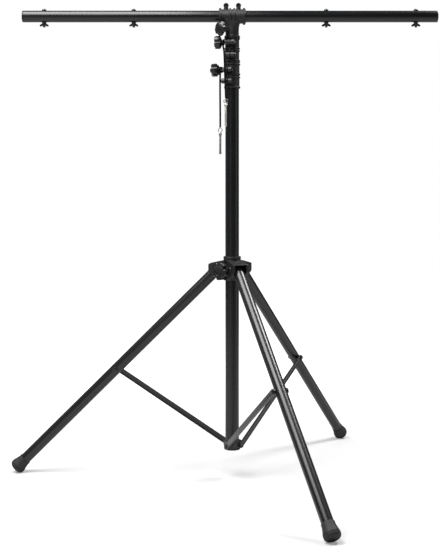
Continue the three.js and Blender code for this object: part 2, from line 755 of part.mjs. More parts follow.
// Hub: a sleeve on the mast with three channel brackets
function bracketOutline() {
  const slope = (bracketInnerTop - bracketOuterTop) / bracketReach;
  const noseTop = bracketOuterTop + slope * bracketNose;
  const shape = new THREE.Shape();
  shape.moveTo(outerRadius, bracketInnerTop);
  shape.lineTo(bracketReach - bracketNose, noseTop);
  shape.quadraticCurveTo(bracketReach, bracketOuterTop, bracketReach, bracketOuterTop - bracketNose);
  shape.lineTo(bracketReach, bracketMouthFoot + bracketNose);
  shape.quadraticCurveTo(bracketReach, bracketMouthFoot, bracketReach - bracketNose, bracketMouthFoot - bracketNose);
  shape.lineTo(hubRadius + bracketHeelDepth, bracketHeelFoot);
  shape.lineTo(outerRadius, bracketHeelFoot);
  return shape;
}

function channelOutline() {
  const slope = (bracketInnerTop - bracketOuterTop) / bracketReach;
  const farReach = bracketReach + overrun;
  const under = (reach) => bracketInnerTop - bracketPlate - slope * (reach - outerRadius);
  const shape = new THREE.Shape();
  shape.moveTo(channelBack, under(channelBack));
  shape.lineTo(farReach, under(farReach));
  shape.lineTo(farReach, hubFoot - overrun);
  shape.lineTo(channelBack, hubFoot - overrun);
  return shape;
}

function hubBody() {
  let body = joined(rod(hubRadius, hubFoot, hubTop, castSides),
    rodOutwards(hubBossRadius, 0, hubBossReach, hubKnobTurn, hubKnobHeight));
  const half = bracketHalfWidth;
  for (const turn of legTurns) body = body.add(solidOf(slabXZ(bracketOutline(), -half, half).rotateZ(turn)));
  const cutters = legTurns.flatMap((turn) => [
    slabXZ(channelOutline(), -bracketHalfOpening, bracketHalfOpening).rotateZ(turn),
    rodAlongY(legPinRadius + seatGap, -half - overrun, half + overrun, legPivotReach, legPivotHeight).rotateZ(turn),
  ]);
  return cut(body, ...cutters,
    rod(outerRadius + runGap, hubFoot - overrun, hubTop + overrun, tubeSides),
    rodOutwards(studRadius + seatGap, outerRadius, hubBossReach + overrun, hubKnobTurn, hubKnobHeight));
}

piece('hub_body', hubBody(), casting, stand);
const hubCollarTop = hubTop + seatGap + hubCollarHeight;
piece('hub_collar', solidOf(turned([
  [outerRadius + runGap, hubTop + seatGap],
  [hubCollarRadius, hubTop + seatGap],
  [hubCollarRadius, hubCollarTop - runGap],
  [hubCollarRadius - runGap, hubCollarTop],
  [outerRadius + runGap, hubCollarTop],
], tubeSides)), plastic, stand);
outwardKnob('hub_knob', hubKnobRadius, hubKnobLength, hubKnobCone, hubKnobFace, outerRadius + runGap,
  hubKnobTurn, hubKnobHeight);

// Foot of the mast: a spigot in the outer tube, three flats with a strut pin on each, and a rim
function baseBracket() {
  const bodyTop = outerFootHeight - seatGap;
  const rimTop = baseFoot + baseRimHeight;
  let body = joined(
    rod(baseBodyRadius, rimTop, bodyTop, castSides),
    rod(baseRimRadius, baseFoot, rimTop + overrun, castSides),
  );
  const far = baseBodyRadius + overrun;
  for (const turn of legTurns) {
    const beyond = block(-far, far, -far, -baseFlatReach, baseFoot - overrun, bodyTop + overrun);
    body = cut(body, beyond.rotateZ(turn));
  }
  body = body.add(solidOf(rod(outerBore - seatGap, bodyTop - overrun, baseSpigotTop, tubeSides)));
  const headStart = strutNear + strutDepth + seatGap;
  const headEnd = headStart + strutHeadHeight;
  const pinRoot = baseFlatReach - overrun;
  for (const turn of legTurns) {
    const shank = rodAlongY(strutPinRadius, -headEnd, -pinRoot, strutPivotReach, strutPivotHeight);
    const head = rodAlongY(strutHeadRadius, -headEnd, -headStart, strutPivotReach, strutPivotHeight);
    body = body.add(joined(shank.rotateZ(turn), head.rotateZ(turn)));
  }
  return cut(body, rod(baseBore, baseFoot - overrun, baseFoot + baseBoreDepth, tubeSides));
}

piece('base_bracket', baseBracket(), casting, stand);
piece('base_cap', joined(
  rod(baseRimRadius, baseFoot - seatGap - baseCapThickness, baseFoot - seatGap, castSides),
  rod(baseBore - seatGap, baseFoot - seatGap - baseCapThickness, baseFoot + baseCapSpigot, castSides),
), plastic, stand);

// A leg's own frame: Z runs down the tube from the pivot
function intoLeg(geometry) {
  return geometry.rotateY(Math.PI - legTilt).translate(legPivotReach, 0, legPivotHeight);
}

// A strut's own frame: Z runs up the strut from its lower pivot
const boltReach = legPivotReach + strutBoltDistance * Math.sin(legTilt);
const boltHeight = legPivotHeight - strutBoltDistance * Math.cos(legTilt);
const strutLength = Math.hypot(boltReach - strutPivotReach, boltHeight - strutPivotHeight);
const strutTilt = Math.atan2(boltReach - strutPivotReach, boltHeight - strutPivotHeight);

function intoStrut(geometry) {
  return geometry.rotateY(strutTilt).translate(strutPivotReach, 0, strutPivotHeight);
}

// The foot's end is as far down the leg as brings its rounded edge to the floor
const footEdgeDrop = (footRadius - footCornerRadius) * Math.sin(legTilt) + footCornerRadius - floorBite;
const footEnd = (legPivotHeight - footEdgeDrop) / Math.cos(legTilt) + footCornerRadius;
const legEnd = footEnd - footSole;

function legTube() {
  const eye = solidOf(rodAlongY(legRadius, -legRadius, legRadius, 0, 0, tubeSides))
    .intersect(solidOf(rod(legRadius, -legRadius, legRadius, tubeSides)));
  const body = eye.add(solidOf(rod(legRadius, 0, legEnd, tubeSides)));
  return cut(body,
    rod(legRadius - legWall, legSolidEnd, legEnd + overrun, tubeSides),
    rodAlongY(legPinRadius + runGap, -legRadius - overrun, legRadius + overrun, 0, 0),
    rodAlongY(sleeveBushRadius + seatGap, -legRadius - overrun, legRadius + overrun, 0, strutBoltDistance));
}

function legFoot() {
  const start = footEnd - footCover;
  const innerWallRadius = legRadius + seatGap;
  const profile = [
    [0, legEnd + seatGap],
    [innerWallRadius, legEnd + seatGap],
    [innerWallRadius, start],
    [innerWallRadius + footNeckWall, start],
    [innerWallRadius + footNeckWall, start + footNeckLength],
    [footRadius, footEnd - footCornerRadius - footShoulder],
  ];
  for (let i = 0; i <= domeSteps; i += 1) {
    const angle = Math.PI / 2 * i / domeSteps;
    const radius = footRadius - footCornerRadius * (1 - Math.cos(angle));
    profile.push([radius, footEnd - footCornerRadius * (1 - Math.sin(angle))]);
  }
  profile.push([0, footEnd]);
  const reach = legPivotReach + footEnd;
  return cut(solidOf(intoLeg(turned(profile, tubeSides))),
    block(0, reach, -2 * footRadius, 2 * footRadius, -2 * footRadius, 0));
}

// A stadium outline from the lower pivot to the upper one, in the X Z plane
function stadium(radius, foot, top) {
  const shape = new THREE.Shape();
  shape.absarc(0, foot, radius, Math.PI, 2 * Math.PI, false);
  shape.absarc(0, top, radius, 0, Math.PI, false);
  return shape;
}

function strutBar() {
  const radius = strutWidth / 2;
  const near = -strutNear;
  const far = -strutNear - strutDepth;
  const channel = block(-radius + strutWall, radius - strutWall, far + strutWall, near + overrun, strutEndSolid,
    strutLength - strutEndSolid);
  return cut(solidOf(intoStrut(slabXZ(stadium(radius, 0, strutLength), far, near))),
    intoStrut(channel),
    intoStrut(rodAlongY(strutPinRadius + runGap, far - overrun, near + overrun, 0, 0)),
    intoStrut(rodAlongY(strutPinRadius + seatGap, far - overrun, near + overrun, 0, strutLength)));
}

legTurns.forEach((turn, i) => {
  const group = turnedGroup(turn);
  const pinHalf = bracketHalfWidth + seatGap;
  piece(`leg_pin_${i + 1}`, joined(
    rodAlongY(legPinRadius, -pinHalf, pinHalf, legPivotReach, legPivotHeight),
    rodAlongY(legPinHeadRadius, pinHalf, pinHalf + legPinHeadHeight, legPivotReach, legPivotHeight),
    rodAlongY(legPinHeadRadius, -pinHalf - legPinHeadHeight, -pinHalf, legPivotReach, legPivotHeight),
  ), darkSteel, group);
  const tubeMesh = piece(`leg_tube_${i + 1}`, legTube(), legPaint, group);
  tubeMesh.rotation.y = Math.PI - legTilt;
  tubeMesh.position.set(legPivotReach, 0, legPivotHeight);
  piece(`leg_foot_${i + 1}`, legFoot(), rubber, group);
  const headStart = legRadius + seatGap;
  piece(`leg_sleeve_${i + 1}`, joined(
    intoLeg(rodAlongY(sleeveBushRadius, -strutNear + seatGap, headStart, 0, strutBoltDistance)),
    intoLeg(rodAlongY(sleeveHeadRadius, headStart, headStart + sleeveHeadHeight, 0, strutBoltDistance)),
  ), darkSteel, group);
  piece(`strut_bar_${i + 1}`, strutBar(), legPaint, group);
  const screwHead = strutNear + strutDepth + seatGap;
  piece(`strut_screw_${i + 1}`, joined(
    intoStrut(rodAlongY(strutPinRadius, -screwHead, -strutNear, 0, strutLength)),
    intoStrut(rodAlongY(strutHeadRadius, -screwHead - strutHeadHeight, -screwHead, 0, strutLength)),
  ), darkSteel, group);
});

// Safety pins, each hung on a cord from a clamp's stud
function pin(top, tip, ball) {
  const profile = [[0, tip], [pinRadius / 2, tip], [pinRadius, tip + pinRadius]];
  if (ball) {
    profile.push([pinRadius, tip + pinRadius], [pinBallRadius, tip + 2 * pinRadius], [pinRadius, tip + 3 * pinRadius]);
  }
  profile.push([pinRadius, top - pinHeadLength], [pinHeadRadius, top - pinHeadLength + pinRadius / 2],
    [pinHeadRadius, top - pinRadius / 2], [pinHeadRadius - pinRadius / 2, top], [0, top]);
  return turned(profile, smallSides);
}

function hangPin(number, clampGroup, place, height, route, ringDrop, pinDrop, ball) {
  const group = new THREE.Group();
  group.position.set(place, -earOffset, height);
  clampGroup.add(group);
  const points = route.map((point) => new THREE.Vector3(...point));
  const section = new THREE.Shape().absarc(0, 0, cordDiameter / 2, 0, 2 * Math.PI, false);
  const cord = new THREE.ExtrudeGeometry(section, {
    steps: cordSteps,
    curveSegments: cordSides / 2,
    extrudePath: new THREE.CatmullRomCurve3(points),
  });
  piece(`lanyard_cord_${number}`, solidOf(cord), cordFinish, group);
  const [x, y] = route[route.length - 1];
  const ring = new THREE.TorusGeometry(ringRadius - ringWire, ringWire, ringSides, ringSteps);
  ring.rotateX(Math.PI / 2).translate(x, y, -ringDrop);
  piece(`lanyard_ring_${number}`, solidOf(ring), steel, group);
  const pinTop = -ringDrop - ringRadius - seatGap;
  piece(`lanyard_pin_${number}`, solidOf(pin(pinTop, -pinDrop, ball).translate(x, y, 0)), steel, group);
}

hangPin(1, upperClamp, -earLeft - upperCordOffset, upperKnobHeight, upperCordRoute, upperRingDrop, upperPinDrop,
  false);
hangPin(2, lowerClamp, -earLeft - lowerCordOffset, lowerKnobHeight, lowerCordRoute, lowerRingDrop, lowerPinDrop,
  true);

// The origin goes under the middle of the stand's box
const box = new THREE.Box3().setFromObject(stand, true);
const group = new THREE.Group();
stand.position.set(-(box.min.x + box.max.x) / 2, -(box.min.y + box.max.y) / 2, -box.min.z);
group.add(stand);

export default group;
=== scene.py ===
import bpy
import math
from mathutils import Matrix, Vector


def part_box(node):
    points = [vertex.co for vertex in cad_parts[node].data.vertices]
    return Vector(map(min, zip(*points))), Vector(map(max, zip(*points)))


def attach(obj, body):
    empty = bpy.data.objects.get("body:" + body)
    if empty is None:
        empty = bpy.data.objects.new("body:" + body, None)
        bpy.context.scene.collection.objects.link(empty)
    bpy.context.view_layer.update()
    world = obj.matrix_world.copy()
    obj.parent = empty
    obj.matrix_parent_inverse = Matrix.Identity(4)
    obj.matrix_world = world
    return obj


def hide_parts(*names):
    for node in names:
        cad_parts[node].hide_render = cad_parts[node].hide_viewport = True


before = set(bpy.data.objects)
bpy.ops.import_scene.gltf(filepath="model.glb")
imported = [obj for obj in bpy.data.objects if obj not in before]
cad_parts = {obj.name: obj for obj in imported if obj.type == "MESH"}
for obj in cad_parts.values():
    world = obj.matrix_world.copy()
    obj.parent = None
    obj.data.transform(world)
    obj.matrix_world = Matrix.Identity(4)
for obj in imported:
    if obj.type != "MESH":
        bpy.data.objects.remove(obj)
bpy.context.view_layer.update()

mm = 0.001
seatGap = 0.3  # mm, between a piece and the one that it sits on

# the mast stands a little off the origin, so every place below is measured from its axis
tubeLow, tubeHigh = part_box("outer_tube")
axisX = (tubeLow.x + tubeHigh.x) / 2
axisY = (tubeLow.y + tubeHigh.y) / 2

# the photograph's view: a level camera, shifted down, in front of the stand
shot = {
    "side": -35.7,          # mm, left of the mast
    "distance": 3247,       # mm, in front of the mast
    "height": 845.1,        # mm, above the floor
    "lens": 72.0,
    "sensor": 36,
    "shiftY": -0.1564,
    "farthest": 100,        # m
}

studio = {
    "floorSize": 16.0,      # m
    "floorGrey": 0.56,
    "floorNear": 0.22,      # glow of the floor round the feet, as the camera sees it
    "floorFar": 1.1,        # and away from them
    "glowFrom": 0.6,        # m from the mast, where the glow starts to rise
    "glowTo": 1.8,          # and where it is full
    "roomLevel": 0.05,      # what the paint sees of the room, where the camera sees white
    "shineShare": 0.12,     # how much of the white floor the metal and the paint show
}


# a move in millimetres
def moved(x=0.0, y=0.0, z=0.0):
    return Matrix.Translation((x * mm, y * mm, z * mm))


def aboutMast(turn):
    return Matrix.Rotation(math.radians(turn), 4, "Z")


# millimetres round the mast to metres in the frame
def mastFrame(turn=0.0, x=0.0, y=0.0, z=0.0):
    return Matrix.Translation((axisX, axisY, 0)) @ aboutMast(turn) @ moved(x, y, z)


def addCamera():
    data = bpy.data.cameras.new("photoCamera")
    camera = bpy.data.objects.new("photoCamera", data)
    bpy.context.scene.collection.objects.link(camera)
    data.sensor_width = shot["sensor"]
    data.lens = shot["lens"]
    data.shift_y = shot["shiftY"]
    data.clip_end = shot["farthest"]
    camera.location = (axisX + shot["side"] * mm, axisY - shot["distance"] * mm, shot["height"] * mm)
    camera.rotation_euler = (math.radians(90), 0, 0)
    bpy.context.scene.camera = camera


addCamera()
print("camera placed")


# modelling helpers; their sizes are in mm, and their matrices in metres

def clearSelection():
    if bpy.context.object and bpy.context.object.mode != "OBJECT":
        bpy.ops.object.mode_set(mode="OBJECT")
    bpy.ops.object.select_all(action="DESELECT")


def pick(piece):
    clearSelection()
    piece.select_set(True)
    bpy.context.view_layer.objects.active = piece


# puts a piece made round the origin in its place, and the place in its mesh
def settle(piece, matrix):
    pick(piece)
    piece.matrix_world = matrix @ piece.matrix_world
    bpy.ops.object.transform_apply(location=True, rotation=True, scale=True)
    return piece


def facesOut(piece):
    pick(piece)
    bpy.ops.object.mode_set(mode="EDIT")
    bpy.ops.mesh.select_all(action="SELECT")
    bpy.ops.mesh.remove_doubles(threshold=0.000005)
    bpy.ops.mesh.normals_make_consistent(inside=False)
    bpy.ops.object.mode_set(mode="OBJECT")


# a circle drawn up the Z axis step by step; steps are (radius, height), and a ring closes on itself
def turned(name, steps, sides=64, ring=False):
    clearSelection()
    radius, height = steps[0]
    bpy.ops.mesh.primitive_circle_add(vertices=sides, radius=radius * mm,
                                      location=(0, 0, height * mm), fill_type="NOTHING")
    piece = bpy.context.object
    piece.name = name
    bpy.ops.object.mode_set(mode="EDIT")
    bpy.ops.mesh.select_all(action="SELECT")
    path = list(steps[1:]) + ([steps[0]] if ring else [])
    for nextRadius, nextHeight in path:
        rise = (nextHeight - height) * mm
        bpy.ops.mesh.extrude_region_move(TRANSFORM_OT_translate={"value": (0, 0, rise)})
        grow = nextRadius / radius
        bpy.ops.transform.resize(value=(grow, grow, 1), center_override=(0, 0, nextHeight * mm))
        radius, height = nextRadius, nextHeight
    if not ring:
        bpy.ops.mesh.select_all(action="DESELECT")
        bpy.ops.mesh.select_non_manifold()
        bpy.ops.mesh.fill_holes(sides=0)
    bpy.ops.object.mode_set(mode="OBJECT")
    bpy.ops.object.transform_apply(location=True, rotation=True, scale=True)
    facesOut(piece)
    return piece


# a plain round bar on the Z axis, to join or to cut with
def rod(name, radius, foot, top, sides=48):
    clearSelection()
    bpy.ops.mesh.primitive_cylinder_add(vertices=sides, radius=radius * mm, depth=(top - foot) * mm,
                                        location=(0, 0, (top + foot) / 2 * mm))
    piece = bpy.context.object
    piece.name = name
    bpy.ops.object.transform_apply(location=True, rotation=True, scale=True)
    return piece


# a block between two corners
def block(name, low, high):
    clearSelection()
    middle = [(a + b) / 2 * mm for a, b in zip(low, high)]
    size = [(b - a) * mm for a, b in zip(low, high)]
    bpy.ops.mesh.primitive_cube_add(size=1, location=middle)
    piece = bpy.context.object
    piece.name = name
    piece.scale = size
    bpy.ops.object.transform_apply(location=True, rotation=True, scale=True)
    return piece


# a closed outline in the X Z plane, drawn through from one Y to the other
def outlined(name, points, low, high):
    clearSelection()
    bpy.ops.mesh.primitive_circle_add(vertices=len(points), radius=1, fill_type="NGON")
    piece = bpy.context.object
    piece.name = name
    for vertex, (x, z) in zip(piece.data.vertices, points):
        vertex.co = (x * mm, low * mm, z * mm)
    bpy.ops.object.mode_set(mode="EDIT")
    bpy.ops.mesh.select_all(action="SELECT")
    bpy.ops.mesh.extrude_region_move(TRANSFORM_OT_translate={"value": (0, (high - low) * mm, 0)})
    bpy.ops.object.mode_set(mode="OBJECT")
    facesOut(piece)
    return piece


def boolean(piece, other, operation):
    pick(piece)
    modifier = piece.modifiers.new("join", "BOOLEAN")
    modifier.operation = operation
    modifier.solver = "EXACT"
    modifier.object = other
    bpy.ops.object.modifier_apply(modifier=modifier.name)
    bpy.data.objects.remove(other)


def cut(piece, *others):
    for other in others:
        boolean(piece, other, "DIFFERENCE")


def join(piece, *others):
    for other in others:
        boolean(piece, other, "UNION")


# rounds the edges that are sharper than an angle
def soften(piece, width, segments=2, angle=32):
    pick(piece)
    modifier = piece.modifiers.new("soften", "BEVEL")
    modifier.width = width * mm
    modifier.segments = segments
    modifier.limit_method = "ANGLE"
    modifier.angle_limit = math.radians(angle)
    bpy.ops.object.modifier_apply(modifier=modifier.name)


# the outline of a raised band with eased rims, on something turned
def band(inner, outer, start, end):
    return [(inner, start), (outer - 0.5, start + 0.1), (outer, start + 0.6),
            (outer, end - 0.6), (outer - 0.5, end - 0.1), (inner, end)]


def copyOf(piece, name):
    twin = piece.copy()
    twin.data = piece.data.copy()
    twin.name = name
    bpy.context.scene.collection.objects.link(twin)
    return twin


# smooth shading, finish, body, slot (not used) and the nodes that the piece stands for
def finished(piece, body, slot, material, *nodes, smooth=32):
    pick(piece)
    bpy.ops.object.shade_smooth_by_angle(angle=math.radians(smooth))
    piece.data.materials.clear()
    piece.data.materials.append(material)
    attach(piece, body)
    if nodes:
        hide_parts(*nodes)


quarterAboutY = Matrix.Rotation(math.radians(90), 4, "Y")
quarterBackAboutY = Matrix.Rotation(math.radians(-90), 4, "Y")
quarterAboutX = Matrix.Rotation(math.radians(90), 4, "X")


# Z axis laid along +X through a point
def alongX(x=0.0, y=0.0, z=0.0):
    return moved(x, y, z) @ quarterAboutY


# Z axis laid along -Y through a point
def alongY(x=0.0, y=0.0, z=0.0):
    return moved(x, y, z) @ quarterAboutX


# finishes

def nodeMaterial(name):
    material = bpy.data.materials.new(name)
    material.use_nodes = True
    tree = material.node_tree
    shader = tree.nodes["Principled BSDF"]
    place = tree.nodes.new("ShaderNodeTexCoord")
    return material, tree, shader, place


def noise(tree, place, scale, detail=3.0, roughness=0.55):
    node = tree.nodes.new("ShaderNodeTexNoise")
    node.inputs["Scale"].default_value = scale
    node.inputs["Detail"].default_value = detail
    node.inputs["Roughness"].default_value = roughness
    tree.links.new(place.outputs["Object"], node.inputs["Vector"])
    return node


def mapped(tree, source, low, high, fromLow=0.3, fromHigh=0.7):
    node = tree.nodes.new("ShaderNodeMapRange")
    node.inputs["From Min"].default_value = fromLow
    node.inputs["From Max"].default_value = fromHigh
    node.inputs["To Min"].default_value = low
    node.inputs["To Max"].default_value = high
    tree.links.new(source, node.inputs["Value"])
    return node.outputs["Result"]


def mixed(tree, factor, first, second):
    node = tree.nodes.new("ShaderNodeMix")
    node.data_type = "RGBA"
    node.inputs["A"].default_value = (*first, 1)
    node.inputs["B"].default_value = (*second, 1)
    tree.links.new(factor, node.inputs["Factor"])
    return node.outputs["Result"]


# colour, roughness and relief, each from a noise of its own
def dressed(tree, shader, cloud, dark, light, wear, roughLow, roughHigh, grain, depth):
    colour = mixed(tree, mapped(tree, cloud.outputs["Fac"], 0, 1), dark, light)
    tree.links.new(colour, shader.inputs["Base Color"])
    tree.links.new(mapped(tree, wear.outputs["Fac"], roughLow, roughHigh), shader.inputs["Roughness"])
    bump = tree.nodes.new("ShaderNodeBump")
    bump.inputs["Distance"].default_value = depth
    tree.links.new(grain.outputs["Fac"], bump.inputs["Height"])
    tree.links.new(bump.outputs["Normal"], shader.inputs["Normal"])


# powder coat: fine orange peel, faint cloudy colour, and handled patches that are smoother
def coatedMetal(name, dark, light, roughLow, roughHigh, grain, depth):
    material, tree, shader, place = nodeMaterial(name)
    cloud = noise(tree, place, scale=9.0, detail=4.0)
    fine = noise(tree, place, grain, detail=2.0, roughness=0.6)
    wipe = noise(tree, place, scale=3.2, detail=5.0, roughness=0.65)
    dressed(tree, shader, cloud, dark, light, wipe, roughLow, roughHigh, fine, depth)
    return material


# moulded plastic: spark eroded grain and slight sheen changes
def mouldedPlastic(name, dark, light, roughLow, roughHigh, grain, depth):
    material, tree, shader, place = nodeMaterial(name)
    cloud = noise(tree, place, scale=25.0, detail=3.0)
    fine = noise(tree, place, grain, detail=3.0, roughness=0.7)
    dressed(tree, shader, cloud, dark, light, fine, roughLow, roughHigh, fine, depth)
    return material


# the cord's soft coating hardly shines
def dullPlastic(*facts):
    material = mouldedPlastic(*facts)
    material.node_tree.nodes["Principled BSDF"].inputs["Specular IOR Level"].default_value = 0.06
    return material


lineDepth = 0.00004  # m


# plated steel: fine drawn lines and a few duller spots
def brightMetal(name, dark, light, roughLow, roughHigh, stretch):
    material, tree, shader, place = nodeMaterial(name)
    mapping = tree.nodes.new("ShaderNodeMapping")
    mapping.inputs["Scale"].default_value = stretch
    tree.links.new(place.outputs["Object"], mapping.inputs["Vector"])
    lines = noise(tree, place, scale=600.0, detail=2.0, roughness=0.5)
    tree.links.new(mapping.outputs["Vector"], lines.inputs["Vector"])
    spots = noise(tree, place, scale=90.0, detail=4.0, roughness=0.6)
    dressed(tree, shader, spots, dark, light, lines, roughLow, roughHigh, lines, lineDepth)
    shader.inputs["Metallic"].default_value = 1.0
    return material


# darker and lighter colour, least and most roughness, scale of the grain, and its depth in metres
tubePaint = coatedMetal("satin black tube paint", (0.0030, 0.0033, 0.0040), (0.0046, 0.0050, 0.0058),
                        0.22, 0.31, 900, 0.000015)
# the legs and struts get the tube's black paint made lighter: painted light for the light that their upward
# faces catch
legPaintWithPaintedLight = coatedMetal("satin black leg paint lightened as painted light", (0.0080, 0.0080, 0.0080), (0.0120, 0.0120, 0.0116),
                       0.24, 0.33, 900, 0.00002)
castPaint = coatedMetal("textured black casting paint", (0.0060, 0.0060, 0.0064), (0.0095, 0.0095, 0.0100),
                        0.40, 0.54, 420, 0.00010)
knobPlastic = mouldedPlastic("black knob plastic", (0.0045, 0.0045, 0.0050), (0.0070, 0.0070, 0.0076),
                             0.26, 0.38, 700, 0.00004)
capPlastic = mouldedPlastic("black cap plastic", (0.0060, 0.0060, 0.0064), (0.0090, 0.0090, 0.0094),
                            0.40, 0.52, 500, 0.00006)
footRubber = mouldedPlastic("black foot rubber", (0.0100, 0.0100, 0.0100), (0.0160, 0.0157, 0.0152),
                            0.55, 0.75, 350, 0.0001)
nylonBlack = mouldedPlastic("black nylon", (0.02, 0.02, 0.021), (0.028, 0.028, 0.029),
                            0.4, 0.5, 500, 0.00004)
blackSteel = coatedMetal("black plated steel", (0.0060, 0.0060, 0.0066), (0.0100, 0.0100, 0.0106),
                         0.24, 0.36, 700, 0.00002)
cordCoat = dullPlastic("black cord coating", (0.0030, 0.0030, 0.0032), (0.0045, 0.0045, 0.0048),
                       0.60, 0.75, 900, 0.00003)
# the same, with the stretch of the drawn lines at the end
pinSteel = brightMetal("bright pin steel", (0.60, 0.585, 0.56), (0.76, 0.745, 0.72), 0.34, 0.46, (1, 1, 0.1))
ringSteel = brightMetal("split ring steel", (0.30, 0.29, 0.27), (0.42, 0.41, 0.39), 0.22, 0.34, (1, 1, 1))
greySteel = brightMetal("grey pin steel", (0.30, 0.30, 0.30), (0.42, 0.42, 0.42), 0.38, 0.5, (1, 1, 0.1))
print("finishes made")


# safety pins on their cords, hung from the studs of the two clamps
# routes are (x, y, z) from the stud, drops are below it, and the tip is (radius, height) from the pin's end
lanyards = {
    "1": {
        "turn": -12, "place": (-20, -26), "stud": 1276, "loops": 1, "body": "lanyard_1",
        "ringDrop": 172.5, "tipDrop": 247.5, "steel": pinSteel,
        "tip": [(0.8, 0), (2.4, 0.5), (3.2, 2.6)],
        "route": [(0.9, -6.8, 4), (0.2, -6.8, -1), (-0.7, -6.9, -6), (-0.7, -7.2, -10), (0.2, -7.7, -15),
                  (1.4, -8.2, -19), (2.4, -8.8, -24), (3.3, -9.6, -31), (4, -10.3, -40), (4.6, -10.8, -52),
                  (5.1, -11, -66), (5.5, -11.2, -82), (6.1, -11.2, -100), (6.8, -11.2, -118),
                  (7.6, -11.2, -138), (8.2, -11.2, -154), (8.6, -11.2, -165)],
    },
    "2": {
        "turn": -25, "place": (-26.5, -26), "stud": 1196.3, "loops": 2, "body": "lanyard_2",
        "ringDrop": 176.3, "tipDrop": 246.8, "steel": greySteel,
        "tip": [(1.0, 0), (2.8, 0.8), (3.9, 2.6), (4.0, 4.4), (3.2, 7.2), (3.2, 8.5)],
        "route": [(0, 0, -4.3), (-0.1, 0, -10), (-0.3, 0, -17.8), (-0.4, -0.1, -28), (-0.5, -0.2, -41.8),
                  (-0.5, -0.2, -55), (-0.4, -0.3, -69.8), (-0.3, -0.3, -83), (-0.2, -0.3, -97.8),
                  (-0.1, -0.2, -112), (0, -0.1, -125.8), (0, 0, -138), (0, 0, -147.8), (0, 0, -158),
                  (0, 0, -168.8)],
    },
}
cordDiameter = 5.4
loop = {"radius": 6.8, "thickness": 5.1, "pitch": 5.0}  # the eye of the cord, round the stud
splitRing = {"radius": 5.9, "wire": 1.15, "pinBelow": 7.5}
# the head of a pin, as (radius, height) from its top
pinHead = {
    "shape": [(3.2, -16), (2.9, -15.6), (2.9, -13.4), (3.2, -13), (3.2, -8), (4.5, -7.2), (4.6, -1.8),
              (3.8, -0.5), (1.6, 0)],
    "eye": 1.6, "eyeDown": 4.2, "eyeReach": 8, "round": 0.25,
}


# points between the listed ones, on a Catmull Rom curve
def smoothRoute(points, perSpan=2):
    ends = [tuple(2 * a - b for a, b in zip(points[0], points[1]))] + list(points)
    ends.append(tuple(2 * a - b for a, b in zip(points[-1], points[-2])))
    made = []
    for i in range(1, len(ends) - 2):
        for step in range(perSpan):
            t = step / perSpan
            made.append(tuple(0.5 * (2 * b + (c - a) * t + (2 * a - 5 * b + 4 * c - d) * t * t
                                     + (3 * b - a - 3 * c + d) * t ** 3)
                              for a, b, c, d in zip(ends[i - 1], ends[i], ends[i + 1], ends[i + 2])))
    made.append(points[-1])
    return made


def cordCurve(name, points):
    curve = bpy.data.curves.new(name, "CURVE")
    curve.dimensions = "3D"
    curve.bevel_depth = cordDiameter / 2 * mm
    curve.bevel_resolution = 6
    curve.use_fill_caps = True
    spline = curve.splines.new("POLY")
    spline.points.add(len(points) - 1)
    for target, point in zip(spline.points, points):
        target.co = (*point, 1)
    cord = bpy.data.objects.new(name, curve)
    bpy.context.scene.collection.objects.link(cord)
    curve.materials.append(cordCoat)
    return cord


def cordEye(name, spot, count):
    turns = []
    for i in range(count):
        clearSelection()
        bpy.ops.mesh.primitive_torus_add(major_radius=loop["radius"] * mm,
                                         minor_radius=loop["thickness"] / 2 * mm,
                                         major_segments=48, minor_segments=20,
                                         rotation=(0, math.radians(90), 0))
        turns.append(settle(bpy.context.object, spot @ moved(i * loop["pitch"])))
    eye = turns[0]
    eye.name = name
    clearSelection()
    for turn in turns:
        turn.select_set(True)
    bpy.context.view_layer.objects.active = eye
    if len(turns) > 1:
        bpy.ops.object.join()
    return eye


def addLanyard(number, facts):
    spot = mastFrame(facts["turn"], *facts["place"], facts["stud"])
    points = [spot @ Vector([c * mm for c in point]) for point in smoothRoute(facts["route"])]
    cord = cordCurve(f"safetyCord{number}", points)
    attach(cord, facts["body"])
    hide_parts(f"lanyard_cord_{number}")
    x, y = facts["route"][-1][:2]
    hang = spot @ moved(x, y)
    clearSelection()
    bpy.ops.mesh.primitive_torus_add(major_radius=splitRing["radius"] * mm,
                                     minor_radius=splitRing["wire"] * mm,
                                     major_segments=48, minor_segments=16, rotation=(math.radians(90), 0, 0))
    ring = bpy.context.object
    ring.name = f"safetyRing{number}"
    settle(ring, hang @ moved(z=-facts["ringDrop"]))
    finished(ring, facts["body"], "ring_steel", ringSteel, f"lanyard_ring_{number}")
    eye = cordEye(f"cordLoop{number}", spot, facts["loops"])
    finished(eye, facts["body"], "cord", cordCoat)
    top, tip = -facts["ringDrop"] - splitRing["pinBelow"], -facts["tipDrop"]
    shaft = [(radius, tip + up) for radius, up in facts["tip"]]
    shaft += [(radius, top + up) for radius, up in pinHead["shape"]]
    pin = turned(f"safetyPin{number}", shaft, 32)
    cut(pin, settle(rod("pinEye", pinHead["eye"], -pinHead["eyeReach"], pinHead["eyeReach"], 24),
                    alongY(0, 0, top - pinHead["eyeDown"])))
    soften(pin, pinHead["round"])
    settle(pin, hang)
    finished(pin, facts["body"], "ring_steel", facts["steel"], f"lanyard_pin_{number}")


for number, facts in lanyards.items():
    addLanyard(number, facts)


# mast tubes: radius, wall, foot and top
mast = {
    "sides": 96,
    "outer": (20, 1.5, 110.8, 1184.5),
    "middle": (17.5, 1.5, 259.5, 1259.5),
    "inner": (15, 1.5, 320.5, 1330.5),
}


def tube(name, radius, wall, foot, top, sides):
    rim = min(0.3, wall / 4)
    steps = [(radius - wall, foot + rim), (radius - wall + rim, foot), (radius - rim, foot),
             (radius, foot + rim), (radius, top - rim), (radius - rim, top), (radius - wall + rim, top),
             (radius - wall, top - rim)]
    return turned(name, steps, sides, ring=True)


